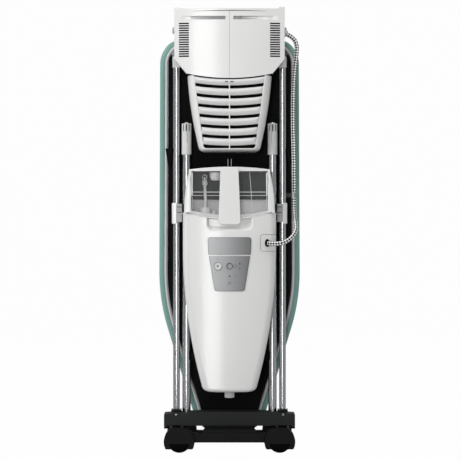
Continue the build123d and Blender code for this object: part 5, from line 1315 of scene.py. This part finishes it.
class DressPanel(bpy.types.Operator):
    """Makes the silver plates, both buttons, the indicator lights and the plain signs"""
    bl_idname = "ironing_table.panel"
    bl_label = "Control panel"

    def execute(self, context):
        def on_plate(x):
            return gen_front(x) - PLATE_T

        plates = [plate(rounded_outline(UPPER_PLATE, [8, 8, 1.5, 1.5]), on_plate, PLATE_T + 0.4, 0.4, 14),
                  plate(rounded_outline(LOWER_PLATE, [1.5, 1.5, 8, 8]), on_plate, PLATE_T + 0.4, 0.4, 14)]
        put("panel_film", plates, "silver_film", "inner_frame", ("panel_plates",))
        y0 = GEN_FRONT - PLATE_T
        for name, x, radius, body, node in (("power_key", POWER_X, POWER_R, "power_key", "power_button"),
                                            ("steam_key", 0, STEAM_R, "steam_key", "steam_button")):
            back = float(gen_front(x)) + 4
            key = [(0, y0 - 1.7), (radius * 0.35, y0 - 1.75), (radius * 0.7, y0 - 2.0),
                   (radius - 1.6, y0 - 2.4), (radius - 0.7, y0 - 2.3), (radius - 0.1, y0 - 1.4),
                   (radius, y0 - 0.5), (radius, back), (0, back)]
            finish_name = "moulded_pp_grey" if radius == POWER_R else "silver_film"
            put(name + "_cap", [lathe(key, (x, 0, BUTTON_Z), "y", 48)], finish_name, body,
                (node,))
            ring = [(radius - 2.2, y0 - 2.35), (radius - 1.8, y0 - 2.65), (radius - 1.0, y0 - 2.6),
                    (radius - 0.8, y0 - 2.1), (radius - 2.2, y0 - 2.35)]
            marks = [lathe(ring, (x, 0, BUTTON_Z), "y", 48)]
            if radius == POWER_R:
                marks.append(lathe(rod(2.6, y0 - 2.1, y0 - 1.4, 0.2), (x, 0, BUTTON_Z), "y", 20))
            put(name + "_ring", marks, "printed_ink", body)

        def dot(x, z, radius):
            face = float(on_plate(x))
            return lathe(rod(radius, face - 0.35, face + 0.6, 0.2), (x, 0, z), "y", 16)

        def stroke(*points, half=0.45):
            spots = np.array(points, float)
            return tube(xyz(spots[:, 0], on_plate(spots[:, 0]) - 0.05, spots[:, 1]), half, 8)

        t = np.linspace(0, 2 * np.pi, 25)
        signs = [dot(-34.5, 566.4, 1.4), dot(17, 552.5, 1.1), dot(17, 540.5, 1.1), dot(16.6, 517.4, 1.2),
                 dot(16.6, 497.3, 1.2),
                 stroke((STEAM_R, BUTTON_Z), (13, BUTTON_Z), (16, BUTTON_Z), (26, BUTTON_Z))]
        # A drop: a circle drawn to a point at its top.
        for x, z, size in ((0.3, 516.8, 1.0), (30, 553.5, 0.95), (30, 540, 0.8)):
            high = np.where(np.cos(t) > 0, np.cos(t) ** 3 * 4.4, np.cos(t) * 2.6)
            outline = np.stack([x + size * 2.5 * np.sin(t) * (1 - 0.5 * np.clip(np.cos(t), 0, 1)),
                                z + size * high], -1)[:-1]
            signs.append(plate(outline, lambda at: on_plate(at) - 0.3, 0.8, 0.1, 3))
        # An iron: its sole, its sloping nose and its heel.
        signs.append(stroke((-4, 494.5), (4.6, 494.5), (4.2, 500.5), (0.5, 500.8), (-4, 494.5), half=0.5))
        put("panel_signs", signs, "printed_ink", "inner_frame")
        return {"FINISHED"}


class DressIron(bpy.types.Operator):
    """Finishes the iron in its rest"""
    bl_idname = "ironing_table.iron"
    bl_label = "Iron"

    def execute(self, context):
        rounded_copy("iron_soleplate", "brushed_aluminium", 1.0, "sole")
        rounded_copy("iron_body", "moulded_abs_white", 1.6, "iron_shell")
        rounded_copy("iron_button", "moulded_pp_grey", 0.8, "iron_steam_key")
        return {"FINISHED"}


class DressInside(bpy.types.Operator):
    """Gives the parts that stay as they are their finishes"""
    bl_idname = "ironing_table.inside"
    bl_label = "Inner parts"

    def execute(self, context):
        finishes = {"board_deck": "galvanised_sheet", "fan_motor": "cast_metal",
                    "fan_wheel": "moulded_pp_black",
                    "hinge_pins": "zinc_plated_steel", "pivot_pins": "zinc_plated_steel",
                    "boiler": "stainless_steel", "pump": "moulded_nylon_grey",
                    "switch_board": "moulded_pp_dark"}
        for node, name in finishes.items():
            for slot in frame["nodes"][node].material_slots:
                slot.material = finish(name)
        return {"FINISHED"}


class LayHose(bpy.types.Operator):
    """Lays the braided steam hose from the generator, round the leg, to the iron rest"""
    bl_idname = "ironing_table.hose"
    bl_label = "Steam hose"

    def smooth_line(self, name, points):
        """Points along a NURBS line of order 3 through the route's control points, in metres."""
        curve = bpy.data.curves.new(name, "CURVE")
        curve.dimensions = "3D"
        curve.resolution_u = 24
        spline = curve.splines.new("NURBS")
        spline.points.add(len(points) - 1)
        for spot, (x, y, z) in zip(spline.points, points):
            spot.co = (x * MM, y * MM, z * MM, 1)
        spline.order_u = 3
        spline.use_endpoint_u = True
        route = bpy.data.objects.new(name, curve)
        bpy.context.scene.collection.objects.link(route)
        bpy.context.view_layer.update()
        line = bpy.data.meshes.new_from_object(route)
        co = np.empty(len(line.vertices) * 3)
        line.vertices.foreach_get("co", co)
        bpy.data.objects.remove(route)
        bpy.data.meshes.remove(line)
        return co.reshape(-1, 3)

    def braid(self, name, points, start, end, bodies, hides, length):
        """A tube along the line. Its radius swells by 2% over each diamond of the braid, DIAMONDS_ROUND
        round and one per DIAMOND_PITCH of hose."""
        path = self.smooth_line(name + "_route", points)
        run = distance_along(path)
        even = np.linspace(0, run[-1], int(run[-1] / (HOSE_STEP * MM)) + 1)
        line = np.stack([np.interp(even, run, path[:, k]) for k in range(3)], -1)
        radius = table().sizes.hose_diameter / 2
        grid = tube(line / MM, radius / MM, HOSE_SIDES)
        u = DIAMONDS_ROUND * np.linspace(0, 1, HOSE_SIDES + 1)[None]
        v = np.concatenate([[0], even, even[-1:]])[:, None] / (DIAMOND_PITCH * MM)
        swell = np.sin(np.pi * (u + v)) * np.sin(np.pi * (u - v))
        axis = np.concatenate([line[:1], line, line[-1:]])[:, None] / MM
        grid = axis + (grid - axis) * (0.98 + 0.02 * np.abs(swell))[..., None]
        uv = np.stack(np.broadcast_arrays(u, v), -1)
        hose = put(name, [grid], "checked_braid", None, hides, [uv], "braid", 60)
        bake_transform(hose)
        return hose

    def execute(self, context):
        self.braid("hose_lower", HOSE_LOWER, (0.14, -0.155, 0.61), (0.192, -0.06, 0.7),
                   ("inner_frame", "leg_frame"), ("hose_start", "hose_bend"), 0.244)
        self.braid("hose_upper", HOSE_UPPER, (0.192, -0.03, 1.07), (0.203, -0.01, 1.19),
                   ("leg_frame", "board"), ("hose_rise", "hose_end"), 0.494)
        return {"FINISHED"}


class SetStage(bpy.types.Operator):
    """Sets the camera, the white sweep of floor and backdrop, and the studio lights"""
    bl_idname = "ironing_table.stage"
    bl_label = "Stage, camera and lights"

    def execute(self, context):
        scene = context.scene
        scene.view_settings.view_transform = "Standard"
        camera = bpy.data.objects.new("camera", bpy.data.cameras.new("camera"))
        scene.collection.objects.link(camera)
        camera.location = CAMERA_AT
        camera.rotation_euler = (math.pi / 2, 0, 0)
        camera.data.lens = LENS
        camera.data.sensor_width = SENSOR
        scene.camera = camera
        # The sweep: flat floor, a quarter circle, and a wall.
        t = np.linspace(0, np.pi / 2, 13)
        y = np.concatenate([[SWEEP_FRONT], SWEEP_BEND + SWEEP_RADIUS * np.sin(t), [SWEEP_BEND + SWEEP_RADIUS]])
        z = np.concatenate([[0], SWEEP_RADIUS * (1 - np.cos(t)), [SWEEP_TOP]])
        grid = xyz(np.linspace(-SWEEP_HALF, SWEEP_HALF, 3)[None], y[:, None], z[:, None])
        mesh = bpy.data.meshes.new("sweep")
        mesh.from_pydata(grid.reshape(-1, 3), [], quads(grid).tolist())
        mesh.shade_smooth()
        sweep = bpy.data.objects.new("sweep", mesh)
        scene.collection.objects.link(sweep)
        paper = bpy.data.materials.new("white_paper")
        paper.use_nodes = True
        tree = paper.node_tree
        matt = tree.nodes["Principled BSDF"]
        matt.inputs["Base Color"].default_value = (*linear("#A8A8A8"), 1)
        matt.inputs["Roughness"].default_value = 1.0
        path = add(tree, "ShaderNodeLightPath")
        # White to the eye and through clear plastic, dimmer to reflections, which gives the chrome its dark.
        clear = add(tree, "ShaderNodeMath", None, {0: path.outputs["Is Camera Ray"],
                                                   1: path.outputs["Is Transmission Ray"]},
                    operation="MAXIMUM")
        dim = add(tree, "ShaderNodeMath", {1: 0.4}, {0: path.outputs["Is Glossy Ray"]}, operation="MULTIPLY")
        power = add(tree, "ShaderNodeMath", None, {0: clear.outputs["Value"], 1: dim.outputs["Value"]},
                    operation="MAXIMUM")
        glow = add(tree, "ShaderNodeEmission", None, {"Strength": power.outputs["Value"]})
        seen = add(tree, "ShaderNodeMath", None, {0: clear.outputs["Value"], 1: path.outputs["Is Glossy Ray"]},
                   operation="MAXIMUM")
        share = add(tree, "ShaderNodeMath", {1: 0.985}, {0: seen.outputs["Value"]}, operation="MULTIPLY")
        mix = add(tree, "ShaderNodeMixShader", None, {"Fac": share.outputs["Value"], 1: matt.outputs["BSDF"],
                                                     2: glow.outputs["Emission"]})
        tree.links.new(mix.outputs["Shader"], tree.nodes["Material Output"].inputs["Surface"])
        mesh.materials.append(paper)
        world = bpy.data.worlds.new("studio")
        world.use_nodes = True
        sky = world.node_tree
        room = sky.nodes["Background"]
        room.inputs["Color"].default_value = (*linear("#E4E4E4"), 1)
        room.inputs["Strength"].default_value = 0.3
        white = add(sky, "ShaderNodeBackground", {"Color": (1, 1, 1, 1), "Strength": 1.0})
        dark = add(sky, "ShaderNodeBackground", {"Color": (*linear("#B4B4B4"), 1), "Strength": 0.78})
        ray = add(sky, "ShaderNodeLightPath")
        mirrored = add(sky, "ShaderNodeMixShader", None,
                       {"Fac": ray.outputs["Is Glossy Ray"], 1: room.outputs["Background"],
                        2: dark.outputs["Background"]})
        both = add(sky, "ShaderNodeMixShader", None,
                   {"Fac": ray.outputs["Is Camera Ray"], 1: mirrored.outputs["Shader"],
                    2: white.outputs["Background"]})
        sky.links.new(both.outputs["Shader"], sky.nodes["World Output"].inputs["Surface"])
        scene.world = world
        # Soft lamps. Only the key strip is seen in reflections, so the chrome keeps clean lines.
        for name, at, towards, wide, high, power, mirrored in LAMPS:
            light = bpy.data.lights.new(name, "AREA")
            light.shape = "RECTANGLE"
            light.size, light.size_y, light.energy = wide, high, power
            lamp = bpy.data.objects.new(name, light)
            scene.collection.objects.link(lamp)
            lamp.location = at
            lamp.visible_glossy = mirrored
            away = np.array(at, float) - np.array(towards, float)
            flat = math.hypot(away[0], away[1])
            lamp.rotation_euler = (math.atan2(flat, away[2]), 0, math.atan2(away[0], -away[1]))
        return {"FINISHED"}


STEPS = (SetStage, LayHose, DressCover, DressBoard, DressRest, DressGrille, DressLegs, DressBase,
         DressGenerator, DressTank, DressPanel, DressIron, DressInside)


class TablePanel(bpy.types.Panel):
    """Lists the pieces of the table and the stage"""
    bl_idname = "VIEW3D_PT_ironing_table"
    bl_label = "Ironing Table"
    bl_space_type = "VIEW_3D"
    bl_region_type = "UI"
    bl_category = "Ironing Table"

    def draw(self, context):
        settings = table()
        for group in (settings.sizes, settings.colours):
            box = self.layout.box()
            for key in group.__annotations__:
                box.prop(group, key)
        for step in STEPS:
            self.layout.operator(step.bl_idname)


CLASSES = (TableSizes, TableColours, TableSettings) + STEPS + (TablePanel,)


def register():
    for kind in CLASSES:
        bpy.utils.register_class(kind)
    bpy.types.Scene.ironing_table = PointerProperty(type=TableSettings)


def unregister():
    del bpy.types.Scene.ironing_table
    for kind in reversed(CLASSES):
        bpy.utils.unregister_class(kind)


def main():
    register()
    for step in STEPS:
        getattr(bpy.ops.ironing_table, step.bl_idname.split(".")[1])()


if __name__ == "__main__":
    main()
